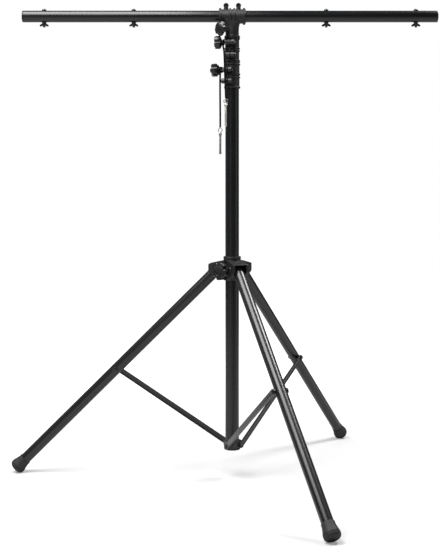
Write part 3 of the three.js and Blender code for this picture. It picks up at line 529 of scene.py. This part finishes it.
for label, body in (("outer", "mast"), ("middle", "middle_section"), ("inner", "inner_section")):
    piece = settle(tube(f"{label}Tube", *mast[label], mast["sides"]), mastFrame())
    finished(piece, body, "tube_paint", tubePaint, f"{label}_tube")
print("mast tubes made")


# knobs with scoops along their rims, each with its bright stud
knobSizes = {
    "clamp": {"radius": 19, "length": 21.1, "cone": 5.9, "neck": 6, "neckLength": 1,
              "bottom": 0.63, "scoop": 0.31, "dome": 0},
    "head": {"radius": 22, "length": 18, "cone": 7, "neck": 8.5, "neckLength": 8,
             "bottom": 0.74, "scoop": 0.32, "dome": 6},
    "hub": {"radius": 26, "length": 19, "cone": 3.5, "neck": 8.5, "neckLength": 8,
            "bottom": 0.72, "scoop": 0.32, "dome": 0},
}
knob = {"scoops": 5, "rimIn": 2.6, "rimUp": 2.2, "dish": 1.6, "round": 1.1}
# the thread of the studs and bolts
thread = {"radius": 4.0, "crest": 0.05, "root": 0.45, "rise": 0.55, "pitch": 1.25}


# its cone starts at zero, with the neck below
def knobHead(name, size, phase):
    r, length, neck, cone, dome = (size[part] for part in ("radius", "length", "neck", "cone", "dome"))
    shoulder = length - knob["rimUp"] - dome
    steps = [(neck - 0.5, -size["neckLength"]), (neck, -size["neckLength"] + 0.5), (neck, 0),
             (neck + 0.8, 0.3), (r - 1.6, cone * 0.86), (r - 0.5, cone), (r, cone + 1.2), (r, shoulder)]
    for i in range(1, 5):
        angle = math.pi / 2 * i / 5
        steps.append((r - knob["rimIn"] * (1 - math.cos(angle)), shoulder + knob["rimUp"] * math.sin(angle)))
    if dome:
        steps += [(r * 0.84, length - dome * 0.6), (r * 0.7, length - dome * 0.34),
                  (r * 0.52, length - dome * 0.14), (r * 0.32, length - dome * 0.04), (r * 0.1, length)]
    else:
        steps += [(r - 2.8, length), (r * 0.56, length), (r * 0.52, length - 0.5),
                  (r * 0.50, length - knob["dish"]), (r * 0.1, length - knob["dish"])]
    piece = turned(name, steps, 80)
    scoopRadius = size["scoop"] * r
    away = size["bottom"] * r + scoopRadius
    for i in range(knob["scoops"]):
        scoop = rod("scoop", scoopRadius, -2, length + 4, 40)
        settle(scoop, aboutMast(phase + 360 / knob["scoops"] * (i + 0.5)) @ moved(away))
        cut(piece, scoop)
    soften(piece, knob["round"], 3, 38)
    return piece


# the crests of a thread, from one height up to another
def crests(height, end):
    steps = []
    while height < end:
        steps += [(thread["radius"] - thread["root"], height),
                  (thread["radius"] - thread["crest"], height + thread["rise"])]
        height += thread["pitch"]
    return steps


# a plated stud with a domed end
def stud(name, start, end):
    r = thread["radius"]
    steps = [(r * 0.3, start), (r * 0.66, start + 0.35), (r * 0.88, start + 0.85),
             (r - thread["crest"], start + 1.5)]
    steps += crests(start + 1.9, end - 1.6)
    steps.append((r - 0.6, end))
    return turned(name, steps, 24)


def addKnob(label, size, spot, studLength, phase):
    node = f"{label}_knob"
    grip = settle(knobHead(f"{label}Knob", size, phase), spot)
    finished(grip, node, "black_plastic", knobPlastic, node)
    shank = settle(stud(f"{label}Stud", -studLength, -size["neckLength"] - 0.05), spot)
    finished(shank, node, "ring_steel", pinSteel)


# split clamp housings; an ear is its height, its reach to the left and to the right, and its hole
clamps = {
    "upper": {
        "turn": -12, "body": "middle_section", "knobFace": 24.6, "studPast": 2.4, "phase": 20,
        "foot": 1222.9, "top": 1289.5, "bore": 17.8, "lip": 15.8, "wall": 20.7, "rib": 22.8,
        "ribShares": [(0, 0.054), (0.414, 0.474), (0.52, 0.58), (0.955, 1)],
        "ears": [(1276, 14, 12, 4.3), (1239.5, 14, 12, 3.3)],
    },
    "lower": {
        "turn": -25, "body": "mast", "knobFace": 30.4, "studPast": 0.6, "phase": 45,
        "foot": 1143.1, "top": 1222.5, "bore": 20.3, "lip": 18.3, "wall": 21.6, "rib": 23.9,
        "ribShares": [(0, 0.068), (0.38, 0.426), (0.491, 0.55), (0.862, 0.909), (0.965, 1)],
        "ears": [(1196.3, 14, 12, 4.3), (1163.5, 11.5, 12, 3.3)],
    },
}
housing = {"earHalf": 8.4, "earOffset": 26, "earRight": 12, "slit": 2.6, "lipHeight": 3.7, "round": 0.5}
nut = {"acrossFlats": 13, "thickness": 4.5, "pocket": 3, "pocketPlay": 0.6, "hole": 4.3, "chamfer": 1.3}


# a place on the axis of one of a clamp's ears
def earFrame(facts, number, x):
    return mastFrame(facts["turn"], x, -housing["earOffset"], facts["ears"][number][0])


for label, facts in clamps.items():
    spot = earFrame(facts, 0, -facts["knobFace"]) @ quarterBackAboutY
    addKnob(label, knobSizes["clamp"], spot, facts["knobFace"] + housing["earRight"] + facts["studPast"],
            facts["phase"])

# the knobs that point out from the mast: their face and the tip of their stud, from its axis
outwards = {
    "head": {"turn": -135, "height": 1314.5, "face": 39, "tip": 15.4, "phase": 3},
    "hub": {"turn": -126.5, "height": 610.5, "face": 50, "tip": 20.4, "phase": 3},
}
for label, facts in outwards.items():
    spot = mastFrame(facts["turn"], facts["face"], 0, facts["height"]) @ quarterAboutY
    addKnob(label, knobSizes[label], spot, facts["face"] - facts["tip"], facts["phase"])
print("knobs made")


# where the knob of a casting made round the origin points out
def outwardFrame(label):
    return aboutMast(outwards[label]["turn"]) @ alongX(0, 0, outwards[label]["height"])


def hexagon(name, acrossFlats, foot, top):
    return settle(rod(name, acrossFlats / math.sqrt(3), foot, top, 6), aboutMast(30))


def addHousing(label, facts):
    foot, top, wall, rib, lip = (facts[part] for part in ("foot", "top", "wall", "rib", "lip"))
    earHalf, earOffset, earRight = housing["earHalf"], housing["earOffset"], housing["earRight"]
    steps = []
    for low, high in facts["ribShares"]:
        steps += band(wall, rib, foot + low * (top - foot), foot + high * (top - foot))
    shell = turned(f"{label}Housing", steps, 96)
    for height, left, right, hole in facts["ears"]:
        ear = rod("ear", earHalf, -left, right, 40)
        settle(ear, alongX(0, -earOffset, height))
        join(ear, block("earBack", (-left, -earOffset, height - earHalf), (right, -wall / 2, height + earHalf)))
        join(shell, ear)
    half = housing["slit"] / 2
    cut(shell, rod("housingBore", facts["bore"], foot - 5, top - housing["lipHeight"], 96),
        rod("lipBore", lip, foot - 5, top + 5, 96),
        block("slit", (-half, -earOffset - earHalf - 4, foot - 4), (half, -lip / 2, top + 4)))
    for height, left, right, hole in facts["ears"]:
        cut(shell, settle(rod("hole", hole, -left - 4, right + 4, 32), alongX(0, -earOffset, height)))
    pocket = hexagon("nutPocket", nut["acrossFlats"] + nut["pocketPlay"], earRight - nut["pocket"],
                     earRight + 4)
    cut(shell, settle(pocket, alongX(0, -earOffset, facts["ears"][0][0])))
    soften(shell, housing["round"], 2, 34)
    settle(shell, mastFrame(facts["turn"]))
    finished(shell, facts["body"], "casting", castPaint, f"{label}_housing")


for label in ("lower", "upper"):
    addHousing(label, clamps[label])


def hexNut(name):
    across, thickness, chamfer = nut["acrossFlats"], nut["thickness"], nut["chamfer"]
    made = hexagon(name, across, 0, thickness)
    corner, flat = across / math.sqrt(3) + 0.4, across / 2 - 0.1
    boolean(made, turned("chamfer", [(flat, -0.01), (corner, chamfer), (corner, thickness - chamfer),
                                     (flat, thickness + 0.01)], 48), "INTERSECT")
    cut(made, rod("nutHole", nut["hole"], -2, thickness + 2, 32))
    soften(made, 0.2)
    return made


def capScrew(name, headRadius, headLength, shankRadius, shankLength):
    steps = [(shankRadius - 0.4, -shankLength), (shankRadius, -shankLength + 0.5), (shankRadius, 0),
             (headRadius - 0.3, 0), (headRadius, 0.3), (headRadius, headLength - 0.8),
             (headRadius - 0.8, headLength), (1.0, headLength)]
    screw = turned(name, steps, 48)
    cut(screw, rod("socket", headRadius * 0.56, headLength * 0.45, headLength + 2, 6))
    soften(screw, 0.2)
    return screw


for label, facts in clamps.items():
    spot = earFrame(facts, 0, housing["earRight"] - nut["pocket"] + seatGap) @ quarterAboutY
    finished(settle(hexNut(f"{label}Nut"), spot), facts["body"], "dark_steel", blackSteel, f"{label}_nut")

spot = earFrame(clamps["upper"], 1, housing["earRight"] + seatGap) @ quarterAboutY
screw = settle(capScrew("upperScrew", headRadius=5.6, headLength=5, shankRadius=3, shankLength=26), spot)
finished(screw, "middle_section", "dark_steel", blackSteel, "upper_screw")
spot = earFrame(clamps["lower"], 1, -clamps["lower"]["ears"][1][1] - seatGap) @ quarterBackAboutY
screw = settle(capScrew("lowerScrew", headRadius=7.6, headLength=9.5, shankRadius=3, shankLength=23.5), spot)
finished(screw, "mast", "black_plastic", knobPlastic, "lower_screw")
print("clamps made")


# head casting: upright socket and level sleeve; the flare is (growth, height), the flanges along the sleeve
head = {
    "foot": 1289.9, "flangeTop": 1297.5, "flange": 23, "socket": 19.7, "bore": 15.4, "boreTop": 1330.9,
    "flare": [(0, 1316.5), (0.7, 1324.5), (2.6, 1332.5), (5.4, 1338.5), (6.8, 1341.5), (4, 1350.5)],
    "flareRoom": ((-40, -19.9, 1284), (40, 19.9, 1364)),
    "barHeight": 1354.5, "barBore": 17.4, "sleeve": 21, "sleeveFlange": 24.5, "left": -39, "right": 40,
    "flanges": [(-38.2, -31.6), (-8.4, -3.2), (3.2, 8.6), (31.2, 38.0)],
    "thumbs": {"left": -17.8, "right": 18.6}, "thumbBoss": 7, "thumbBossFoot": 18.2, "thumbBossHeight": 26,
    "thumbBore": 3.3, "thumbBoreFoot": 15, "knobBoss": 8, "knobBossFoot": 8, "knobBossReach": 30.6,
    "studBore": 4.3, "studBoreFoot": 10, "round": 0.5,
}


def addHead():
    h = head
    foot, flange, socket = h["foot"], h["flange"], h["socket"]
    body = turned("headCasting", [(flange, foot), (flange, h["flangeTop"] - 1), (flange - 1, h["flangeTop"]),
                                  (socket + 0.8, h["flangeTop"] + 0.3), (socket, h["flangeTop"] + 1.4)]
                  + [(socket + growth, height) for growth, height in h["flare"]], 96)
    room = block("flareRoom", *h["flareRoom"])
    join(room, rod("socketCore", flange + 0.5, foot - 1, h["flare"][0][1], 96))
    boolean(body, room, "INTERSECT")
    sleeve = h["sleeve"]
    steps = [(sleeve - 0.6, h["left"]), (sleeve, h["left"] + 0.6)]
    for start, end in h["flanges"]:
        steps += band(sleeve, h["sleeveFlange"], start, end)
    steps += [(sleeve, h["right"] - 0.6), (sleeve - 0.6, h["right"])]
    alongBar = alongX(0, 0, h["barHeight"])
    join(body, settle(turned("sleeve", steps, 96), alongBar))
    join(body, settle(rod("knobBoss", h["knobBoss"], h["knobBossFoot"], h["knobBossReach"], 48),
                      outwardFrame("head")))
    thumbSpots = [moved(x, 0, h["barHeight"]) for x in h["thumbs"].values()]
    for spot in thumbSpots:
        join(body, settle(rod("thumbBoss", h["thumbBoss"], h["thumbBossFoot"], h["thumbBossHeight"], 40), spot))
    cut(body, rod("socketBore", h["bore"], foot - 5, h["boreTop"], 96))
    cut(body, settle(rod("barBore", h["barBore"], h["left"] - 5, h["right"] + 5, 96), alongBar))
    cut(body, settle(rod("studBore", h["studBore"], h["studBoreFoot"], h["knobBossReach"] + 4, 32),
                     outwardFrame("head")))
    for spot in thumbSpots:
        cut(body, settle(rod("thumbBore", h["thumbBore"], h["thumbBoreFoot"], h["thumbBossHeight"] + 4, 24),
                         spot))
    soften(body, h["round"], 2, 36)
    settle(body, mastFrame())
    finished(body, "head", "casting", castPaint, "head_casting")


addHead()

# heights are above the bar's axis, and the stud is (radius, height)
thumb = {
    "half": 7.8, "foot": 5.5, "top": 39.6, "collar": 26.3, "thickness": 5.0, "recess": 5.0, "recessFrom": 1.5,
    "stud": [(2.6, 17.3), (3, 17.8), (3, 26.3), (5.6, 26.3), (5.6, 28.5), (5.0, 29.1)], "round": 0.8,
}


def thumbScrew(name):
    half, middle = thumb["half"], thumb["top"] - thumb["half"]
    points = [(-thumb["foot"], thumb["collar"])]
    for i in range(25):
        angle = math.pi * i / 24
        points.append((-half * math.cos(angle), middle + half * math.sin(angle)))
    points.append((thumb["foot"], thumb["collar"]))
    blade = outlined(name, points, -thumb["thickness"] / 2, thumb["thickness"] / 2)
    for turn in (0, 180):
        recess = rod("recess", thumb["recess"], thumb["recessFrom"], 6, 40)
        cut(blade, settle(recess, aboutMast(turn) @ alongY(0, 0, middle)))
    soften(blade, thumb["round"], 3, 40)
    join(blade, turned("thumbStud", thumb["stud"], 40))
    return blade


for side, x in head["thumbs"].items():
    blade = settle(thumbScrew(f"{side}ThumbScrew"), mastFrame(0, x, 0, head["barHeight"]))
    finished(blade, f"thumb_screw_{side}", "black_plastic", knobPlastic, f"thumb_screw_{side}")
print("head made")


# cross bar; the bolts' places are from its middle, and the cap is (radius, height) from its end
bar = {
    "radius": 17, "wall": 1.6, "half": 605.5, "shift": -6.3,
    "bolts": (-545.5, -282.5, 282.5, 545.5), "hole": 4.3,
    "cap": [(13.5, -12), (15.1, -11.4), (15.1, 0), (16.2, 0), (17.0, 0.7), (17.0, 2.0), (16.5, 2.9),
            (14.5, 3.6), (11, 4.0), (6, 4.2), (1.5, 4.2)],
}
bolt = {
    "tip": [(3.2, -32), (3.9, -31.3)], "threadFrom": -31.0, "threadTo": -18.5,
    "head": [(3.95, 17.3), (6.4, 17.3), (6.8, 17.8), (6.5, 19.2), (5.4, 21.0), (3.6, 22.0), (1.2, 22.3)],
}
wing = {
    "top": -17.3, "half": 3.0, "reach": 13.4, "drop": 12.4, "thickness": 3.4, "round": 0.9, "bore": 4.3,
    "cone": [(4.8, -8), (5.2, -7.6), (6.5, -0.5), (6.1, 0)],
}


def addBar():
    length = tube("crossBar", bar["radius"], bar["wall"], -bar["half"], bar["half"], 96)
    settle(length, quarterAboutY)
    for x in bar["bolts"]:
        cut(length, settle(rod("boltHole", bar["hole"], -22, 22, 24), moved(x)))
    spot = mastFrame(0, bar["shift"], 0, head["barHeight"])
    settle(length, spot)
    finished(length, "bar", "tube_paint", tubePaint, "bar_tube")
    for side, sign in (("left", -1), ("right", 1)):
        cap = turned(f"{side}BarCap", bar["cap"], 80)
        end = moved(sign * (bar["half"] + seatGap))
        settle(cap, spot @ end @ (quarterAboutY if sign > 0 else quarterBackAboutY))
        finished(cap, "bar", "black_plastic", capPlastic, f"bar_cap_{side}")


def barBolt(name):
    return turned(name, bolt["tip"] + crests(bolt["threadFrom"], bolt["threadTo"]) + bolt["head"], 40)


# two straight wings that slant downwards from a small cone
def wingNut(name):
    top, half = wing["top"], wing["half"]
    body = turned(name, [(radius, top + up) for radius, up in wing["cone"]], 48)
    root, end = Vector((0, top - half)), Vector((wing["reach"] - half, top - wing["drop"] + half))
    run = (end - root).normalized()
    side = Vector((-run.y, run.x)) * half
    outline = [(0, top - half / 2), tuple(root + side)]
    for i in range(13):
        angle = math.pi * i / 12
        outline.append(tuple(end + side * math.cos(angle) + run * half * math.sin(angle)))
    outline += [(0, root.y - 2 * half)]
    blade = outlined("wing", outline, -wing["thickness"] / 2, wing["thickness"] / 2)
    soften(blade, wing["round"], 3, 40)
    twin = copyOf(blade, "wingTwin")
    settle(twin, aboutMast(180))
    join(body, blade, twin)
    cut(body, rod("wingBore", wing["bore"], top - 16, top + 2, 32))
    return body


addBar()
boltMesh = barBolt("barBolt0")
wingMesh = wingNut("wingNut0")
for i, x in enumerate(bar["bolts"], 1):
    spot = mastFrame(0, bar["shift"] + x, 0, head["barHeight"])
    piece = settle(copyOf(boltMesh, f"barBolt{i}"), spot)
    finished(piece, "bar", "dark_steel", blackSteel, f"bar_bolt_{i}")
    piece = settle(copyOf(wingMesh, f"wingNut{i}"), spot)
    finished(piece, f"wing_nut_{i}", "wing_plastic", capPlastic, f"wing_nut_{i}")
bpy.data.objects.remove(boltMesh)
bpy.data.objects.remove(wingMesh)
print("cross bar made")


# hub with three channel brackets
hub = {
    "foot": 580.5, "top": 640.5, "radius": 25.2, "width": 46, "opening": 35.3, "root": 20, "reach": 68,
    "innerTop": 639.5, "outerTop": 629.5, "plate": 4, "nose": 3, "mouthFoot": 607.5, "heelFoot": 583.5,
    "heelReach": 36, "channelBack": 25.6, "channelEnd": 74, "channelFoot": 570, "bore": 20.4,
    "pivotReach": 42, "pivotHeight": 614.5, "pinHole": 4.3, "pinHoleHalf": 30, "boss": 11, "bossFoot": 10,
    "bossReach": 41.6, "studBore": 4.3, "round": 0.8,
    "collar": [(20.4, 640.8), (25.0, 640.8), (25.6, 641.7), (25.6, 649.1), (25.0, 650.3), (23.4, 650.8),
               (20.8, 650.8), (20.4, 650.3)],
}
legPin = {"radius": 4, "headRadius": 7, "headHeight": 3, "half": 23.3}
legTurns = (-68.83, 54.45, 173.92)


# points after the start of a rounded corner
def bezier(start, control, end, count=5):
    return [tuple((1 - t) ** 2 * a + 2 * (1 - t) * t * b + t * t * c for a, b, c in zip(start, control, end))
            for t in (i / count for i in range(1, count + 1))]


def bracketOutline(slope):
    h, nose = hub, hub["nose"]
    outline = [(h["root"], h["innerTop"]), (h["reach"] - nose, h["outerTop"] + slope * nose)]
    outline += bezier(outline[-1], (h["reach"], h["outerTop"]), (h["reach"], h["outerTop"] - nose))
    outline.append((h["reach"], h["mouthFoot"] + nose))
    outline += bezier(outline[-1], (h["reach"], h["mouthFoot"]), (h["reach"] - nose, h["mouthFoot"] - nose))
    return outline + [(h["heelReach"], h["heelFoot"]), (h["root"], h["heelFoot"])]


def channelOutline(slope):
    h = hub
    back, end = [(reach, h["innerTop"] - h["plate"] - slope * (reach - h["root"]))
                 for reach in (h["channelBack"], h["channelEnd"])]
    return [back, end, (h["channelEnd"], h["channelFoot"]), (h["channelBack"], h["channelFoot"])]


def addHub():
    h = hub
    body = turned("hubCasting", [(h["radius"] - 0.8, h["foot"]), (h["radius"], h["foot"] + 0.8),
                                 (h["radius"], h["top"] - 0.8), (h["radius"] - 0.8, h["top"])], 96)
    slope = (h["innerTop"] - h["outerTop"]) / h["reach"]
    bracket, channel = bracketOutline(slope), channelOutline(slope)
    half, clear = h["width"] / 2, h["opening"] / 2
    for turn in legTurns:
        join(body, settle(outlined("bracket", bracket, -half, half), aboutMast(turn)))
    join(body, settle(rod("hubBoss", h["boss"], h["bossFoot"], h["bossReach"], 56), outwardFrame("hub")))
    for turn in legTurns:
        cut(body, settle(outlined("channel", channel, -clear, clear), aboutMast(turn)))
        cut(body, settle(rod("pinHole", h["pinHole"], -h["pinHoleHalf"], h["pinHoleHalf"], 32),
                         aboutMast(turn) @ alongY(h["pivotReach"], 0, h["pivotHeight"])))
    cut(body, rod("hubBore", h["bore"], h["foot"] - 5, h["top"] + 5, 96))
    cut(body, settle(rod("hubStudBore", h["studBore"], h["bossFoot"], h["bossReach"] + 5, 32),
                     outwardFrame("hub")))
    soften(body, h["round"], 3, 34)
    settle(body, mastFrame())
    finished(body, "hub", "casting", castPaint, "hub_body")
    collar = settle(turned("hubCollar", h["collar"], 96, ring=True), mastFrame())
    finished(collar, "hub", "black_plastic", capPlastic, "hub_collar")


# a shank with a low domed head at both ends
def rivet(name, radius, headRadius, headHeight, half):
    upper = [(radius, half), (headRadius, half), (headRadius, half + headHeight * 0.2),
             (headRadius * 0.86, half + headHeight * 0.72), (headRadius * 0.5, half + headHeight)]
    return turned(name, [(r, -height) for r, height in reversed(upper)] + upper, 40)


addHub()
for i, turn in enumerate(legTurns, 1):
    spot = mastFrame(turn) @ alongY(hub["pivotReach"], 0, hub["pivotHeight"])
    pin = settle(rivet(f"legPin{i}", **legPin), spot)
    finished(pin, "hub", "dark_steel", blackSteel, f"leg_pin_{i}")
print("hub made")


# legs, feet and struts; lengths run down the leg from its pivot, and sideways outlines start at its axis
leg = {
    "radius": 16, "wall": 1.6, "tilt": 45.31, "solid": 24, "pivotHole": 4.4, "bolt": 428.8, "boltHole": 6.3,
    "round": 0.4,
    "sleeve": [(5.2, -19.8), (7.4, -19.6), (8.5, -18.1), (8.5, -16.3), (6, -16.3), (6, 20.3)],
}
footShape = {"radius": 22.5, "neck": 17.7, "corner": 10, "cover": 43, "sole": 14, "bite": 0.4, "plug": 2}
strut = {
    "near": 20.6, "depth": 5, "width": 16, "wall": 1.8, "solid": 12, "pivot": (12, 0, 96.5), "round": 0.7,
    "hole": 4.4, "holeCuts": [(-6.6, 30), (10, 40)],  # one cut alone changes the finished shape
    "screw": [(3.6, 20.6), (4, 21), (4, 25.9), (7, 25.9), (7, 26.6), (6.1, 28.4), (3.6, 29.1)],
}
legPivot = (hub["pivotReach"], 0, hub["pivotHeight"])
tilt = math.radians(leg["tilt"])
footCorner = footShape["corner"]
edgeDrop = (footShape["radius"] - footCorner) * math.sin(tilt) + footCorner - footShape["bite"]
footEnd = (legPivot[2] - edgeDrop) / math.cos(tilt) + footCorner
legEnd = footEnd - footShape["sole"]
boltOut = legPivot[0] + leg["bolt"] * math.sin(tilt) - strut["pivot"][0]
boltUp = legPivot[2] - leg["bolt"] * math.cos(tilt) - strut["pivot"][2]
strutLength = math.hypot(boltOut, boltUp)
strutTilt = math.atan2(boltOut, boltUp)


def legFrame(turn):
    return mastFrame(turn, *legPivot) @ Matrix.Rotation(math.pi - tilt, 4, "Y")


def strutFrame(turn):
    return mastFrame(turn, *strut["pivot"]) @ Matrix.Rotation(strutTilt, 4, "Y")


def legTube(name):
    r = leg["radius"]
    body = rod(name, r, 0, legEnd, 96)
    eye = settle(rod("eye", r, -r, r, 96), alongY())
    boolean(eye, rod("eyeRound", r, -r - 2, r, 96), "INTERSECT")
    join(body, eye)
    cut(body, rod("legBore", r - leg["wall"], leg["solid"], legEnd + 4, 96))
    cut(body, settle(rod("pivotHole", leg["pivotHole"], -r - 4, r + 4, 32), alongY()))
    cut(body, settle(rod("boltHole", leg["boltHole"], -r - 4, r + 4, 32), alongY(0, 0, leg["bolt"])))
    soften(body, leg["round"], 2, 50)
    return body


def footBoot(name):
    r, neck, cover, plug = (footShape[part] for part in ("radius", "neck", "cover", "plug"))
    start, shoulder, inside = footEnd - cover, footEnd - footCorner - 5, leg["radius"] + seatGap
    steps = [(inside, legEnd + seatGap), (inside, start + 0.4), (inside + 0.4, start), (neck - 0.5, start),
             (neck, start + 0.6), (neck, start + 7), (neck + 0.5, start + 10.5), (neck + 1.5, start + 15),
             (r - 1.9, shoulder - 7), (r - 0.5, shoulder - 2), (r, shoulder), (r, shoulder + 1.6),
             (r - 0.9, shoulder + 2.1), (r - 0.9, shoulder + 3.1), (r, shoulder + 3.6)]
    for i in range(9):
        angle = math.pi / 2 * i / 8
        steps.append((r - footCorner * (1 - math.cos(angle)), footEnd - footCorner * (1 - math.sin(angle))))
    steps += [(6, footEnd), (plug, footEnd), (plug, legEnd + seatGap)]
    return turned(name, steps, 72, ring=True)


def strutBar(name):
    r, low, high = strut["width"] / 2, -strut["near"] - strut["depth"], -strut["near"]
    arc = [math.pi * i / 16 for i in range(17)]
    points = [(-r * math.cos(angle), strutLength + r * math.sin(angle)) for angle in arc]
    points += [(r * math.cos(angle), -r * math.sin(angle)) for angle in arc]
    body = outlined(name, points, low, high)
    cut(body, block("channel", (-r + strut["wall"], low + strut["wall"], strut["solid"]),
                    (r - strut["wall"], high + 4, strutLength - strut["solid"])))
    for place in (0, strutLength):
        for start, end in strut["holeCuts"]:
            cut(body, settle(rod("strutHole", strut["hole"], start, end, 32), alongY(0, 0, place)))
    soften(body, strut["round"], 3, 36)
    return body


legMesh, bootMesh, strutMesh = legTube("leg0"), footBoot("boot0"), strutBar("strut0")
for i, turn in enumerate(legTurns, 1):
    piece = settle(copyOf(legMesh, f"legTube{i}"), legFrame(turn))
    finished(piece, f"leg_{i}", "leg_paint", legPaintWithPaintedLight, f"leg_tube_{i}")
    boot = settle(copyOf(bootMesh, f"footBoot{i}"), legFrame(turn))
    cut(boot, block("floorCut", (-2000, -2000, -60), (2000, 2000, 0)))
    finished(boot, f"leg_{i}", "foot_rubber", footRubber, f"leg_foot_{i}", smooth=40)
    sleeve = settle(turned(f"legSleeve{i}", leg["sleeve"], 40), legFrame(turn) @ alongY(0, 0, leg["bolt"]))
    finished(sleeve, f"leg_{i}", "dark_steel", blackSteel, f"leg_sleeve_{i}")
    brace = settle(copyOf(strutMesh, f"strutBar{i}"), strutFrame(turn))
    finished(brace, f"strut_{i}", "leg_paint", legPaintWithPaintedLight, f"strut_bar_{i}")
    screw = settle(turned(f"strutScrew{i}", strut["screw"], 40), strutFrame(turn) @ alongY(0, 0, strutLength))
    finished(screw, f"strut_{i}", "dark_steel", blackSteel, f"strut_screw_{i}")
for piece in (legMesh, bootMesh, strutMesh):
    bpy.data.objects.remove(piece)
print("legs and struts made")


# foot of the mast: a ring with three flats, a spigot up the tube, the struts' pins and a cap
base = {
    "ring": [(22.7, 87.5), (23.5, 88.3), (23.5, 95.3), (26.6, 95.3), (27, 95.8), (27, 110.1), (26.6, 110.5)],
    "flat": ((-40, -40, 80), (40, -20.3, 120)),
    "spigot": [(18.2, 106), (18.2, 144), (17.7, 144.5)],
    "pin": [(4, 16), (4, 25.9), (7, 25.9), (7, 26.6), (6.1, 28.5), (3.6, 29.1)],
    "bore": 15, "boreTop": 104.5, "round": 0.4,
    "cap": [(16, 84.7), (21.8, 84.7), (23.2, 85.4), (23.5, 86.2), (23.5, 87.2), (14.7, 87.2), (14.7, 95.5)],
}


def addBase():
    body = turned("baseBracket", base["ring"], 96)
    for turn in legTurns:
        cut(body, settle(block("flat", *base["flat"]), aboutMast(turn)))
    join(body, turned("baseSpigot", base["spigot"], 96))
    for turn in legTurns:
        pin = turned("strutPin", base["pin"], 40)
        join(body, settle(pin, aboutMast(turn) @ alongY(*strut["pivot"])))
    cut(body, rod("baseBore", base["bore"], 82, base["boreTop"], 64))
    soften(body, base["round"], 2, 36)
    settle(body, mastFrame())
    finished(body, "mast", "casting", castPaint, "base_bracket")
    cap = settle(turned("baseCap", base["cap"], 72), mastFrame())
    finished(cap, "mast", "black_plastic", capPlastic, "base_cap")


addBase()
for node in ("lower_bush", "upper_bush", "middle_glide", "inner_glide"):
    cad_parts[node].data.materials.clear()
    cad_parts[node].data.materials.append(nylonBlack)
print("base made")


# floor, lamps and world

# one to the camera and through glass, and the given share in a reflection
def seenByEye(tree, shine):
    rays = tree.nodes.new("ShaderNodeLightPath")
    mirrored = tree.nodes.new("ShaderNodeMath")
    mirrored.operation = "MULTIPLY"
    mirrored.inputs[1].default_value = shine
    tree.links.new(rays.outputs["Is Glossy Ray"], mirrored.inputs[0])
    seen = mirrored.outputs[0]
    for kind in ("Is Camera Ray", "Is Transmission Ray"):
        either = tree.nodes.new("ShaderNodeMath")
        either.operation = "MAXIMUM"
        tree.links.new(seen, either.inputs[0])
        tree.links.new(rays.outputs[kind], either.inputs[1])
        seen = either.outputs[0]
    return seen


def addFloor():
    clearSelection()
    bpy.ops.mesh.primitive_plane_add(size=studio["floorSize"], location=(axisX, axisY, 0))
    floor = bpy.context.object
    floor.name = "studioFloor"
    material, tree, shader, place = nodeMaterial("studio floor")
    grey = studio["floorGrey"]
    shader.inputs["Base Color"].default_value = (grey, grey, grey, 1)
    shader.inputs["Roughness"].default_value = 0.9
    shader.inputs["Specular IOR Level"].default_value = 0.0
    away = tree.nodes.new("ShaderNodeVectorMath")
    away.operation = "LENGTH"
    tree.links.new(place.outputs["Object"], away.inputs[0])
    rise = mapped(tree, away.outputs["Value"], studio["floorNear"], studio["floorFar"],
                  studio["glowFrom"], studio["glowTo"])
    glow = tree.nodes.new("ShaderNodeMath")
    glow.operation = "MULTIPLY"
    tree.links.new(seenByEye(tree, studio["shineShare"]), glow.inputs[0])
    tree.links.new(rise, glow.inputs[1])
    shader.inputs["Emission Color"].default_value = (1, 1, 1, 1)
    tree.links.new(glow.outputs[0], shader.inputs["Emission Strength"])
    floor.data.materials.append(material)


def addWorld():
    world = bpy.data.worlds.new("white studio")
    bpy.context.scene.world = world
    world.use_nodes = True
    tree = world.node_tree
    back = tree.nodes["Background"]
    back.inputs["Color"].default_value = (1, 1, 1, 1)
    level = tree.nodes.new("ShaderNodeMapRange")
    level.inputs["To Min"].default_value = studio["roomLevel"]
    level.inputs["To Max"].default_value = 1.0
    tree.links.new(seenByEye(tree, studio["roomLevel"]), level.inputs["Value"])
    tree.links.new(level.outputs["Result"], back.inputs["Strength"])


# place in metres from the mast, turn in degrees from facing straight down
lamps = {
    "bigSoftbox": {"place": (-1.2, -0.75, 2.6), "turn": (12, 0, 0), "size": (2.1, 1.7), "power": 127},
    "topRight": {"place": (1.5, 0.5, 2.7), "turn": (-8, 20, 0), "size": (0.9, 0.9), "power": 66},
    "frontLeft": {"place": (-1.26, -2.27, 1.0), "turn": (90, 0, -29), "size": (0.3, 2.0), "power": 1.6},
    "rimLeft": {"place": (-2.3, 0.66, 1.0), "turn": (90, 0, -106), "size": (0.5, 2.0), "power": 1.4},
    "sideRight": {"place": (2.6, -0.6, 1.2), "turn": (0, 85, 0), "size": (2.4, 1.2), "power": 6},
}


def addLamp(name, facts):
    data = bpy.data.lights.new(name, "AREA")
    data.shape = "RECTANGLE"
    data.size, data.size_y = facts["size"]
    data.energy = facts["power"]
    lamp = bpy.data.objects.new(name, data)
    bpy.context.scene.collection.objects.link(lamp)
    lamp.location = Vector(facts["place"]) + Vector((axisX, axisY, 0))
    lamp.rotation_euler = [math.radians(angle) for angle in facts["turn"]]


addFloor()
addWorld()
for name, facts in lamps.items():
    addLamp(name, facts)
bpy.context.scene.view_settings.view_transform = "Standard"
print("studio made")
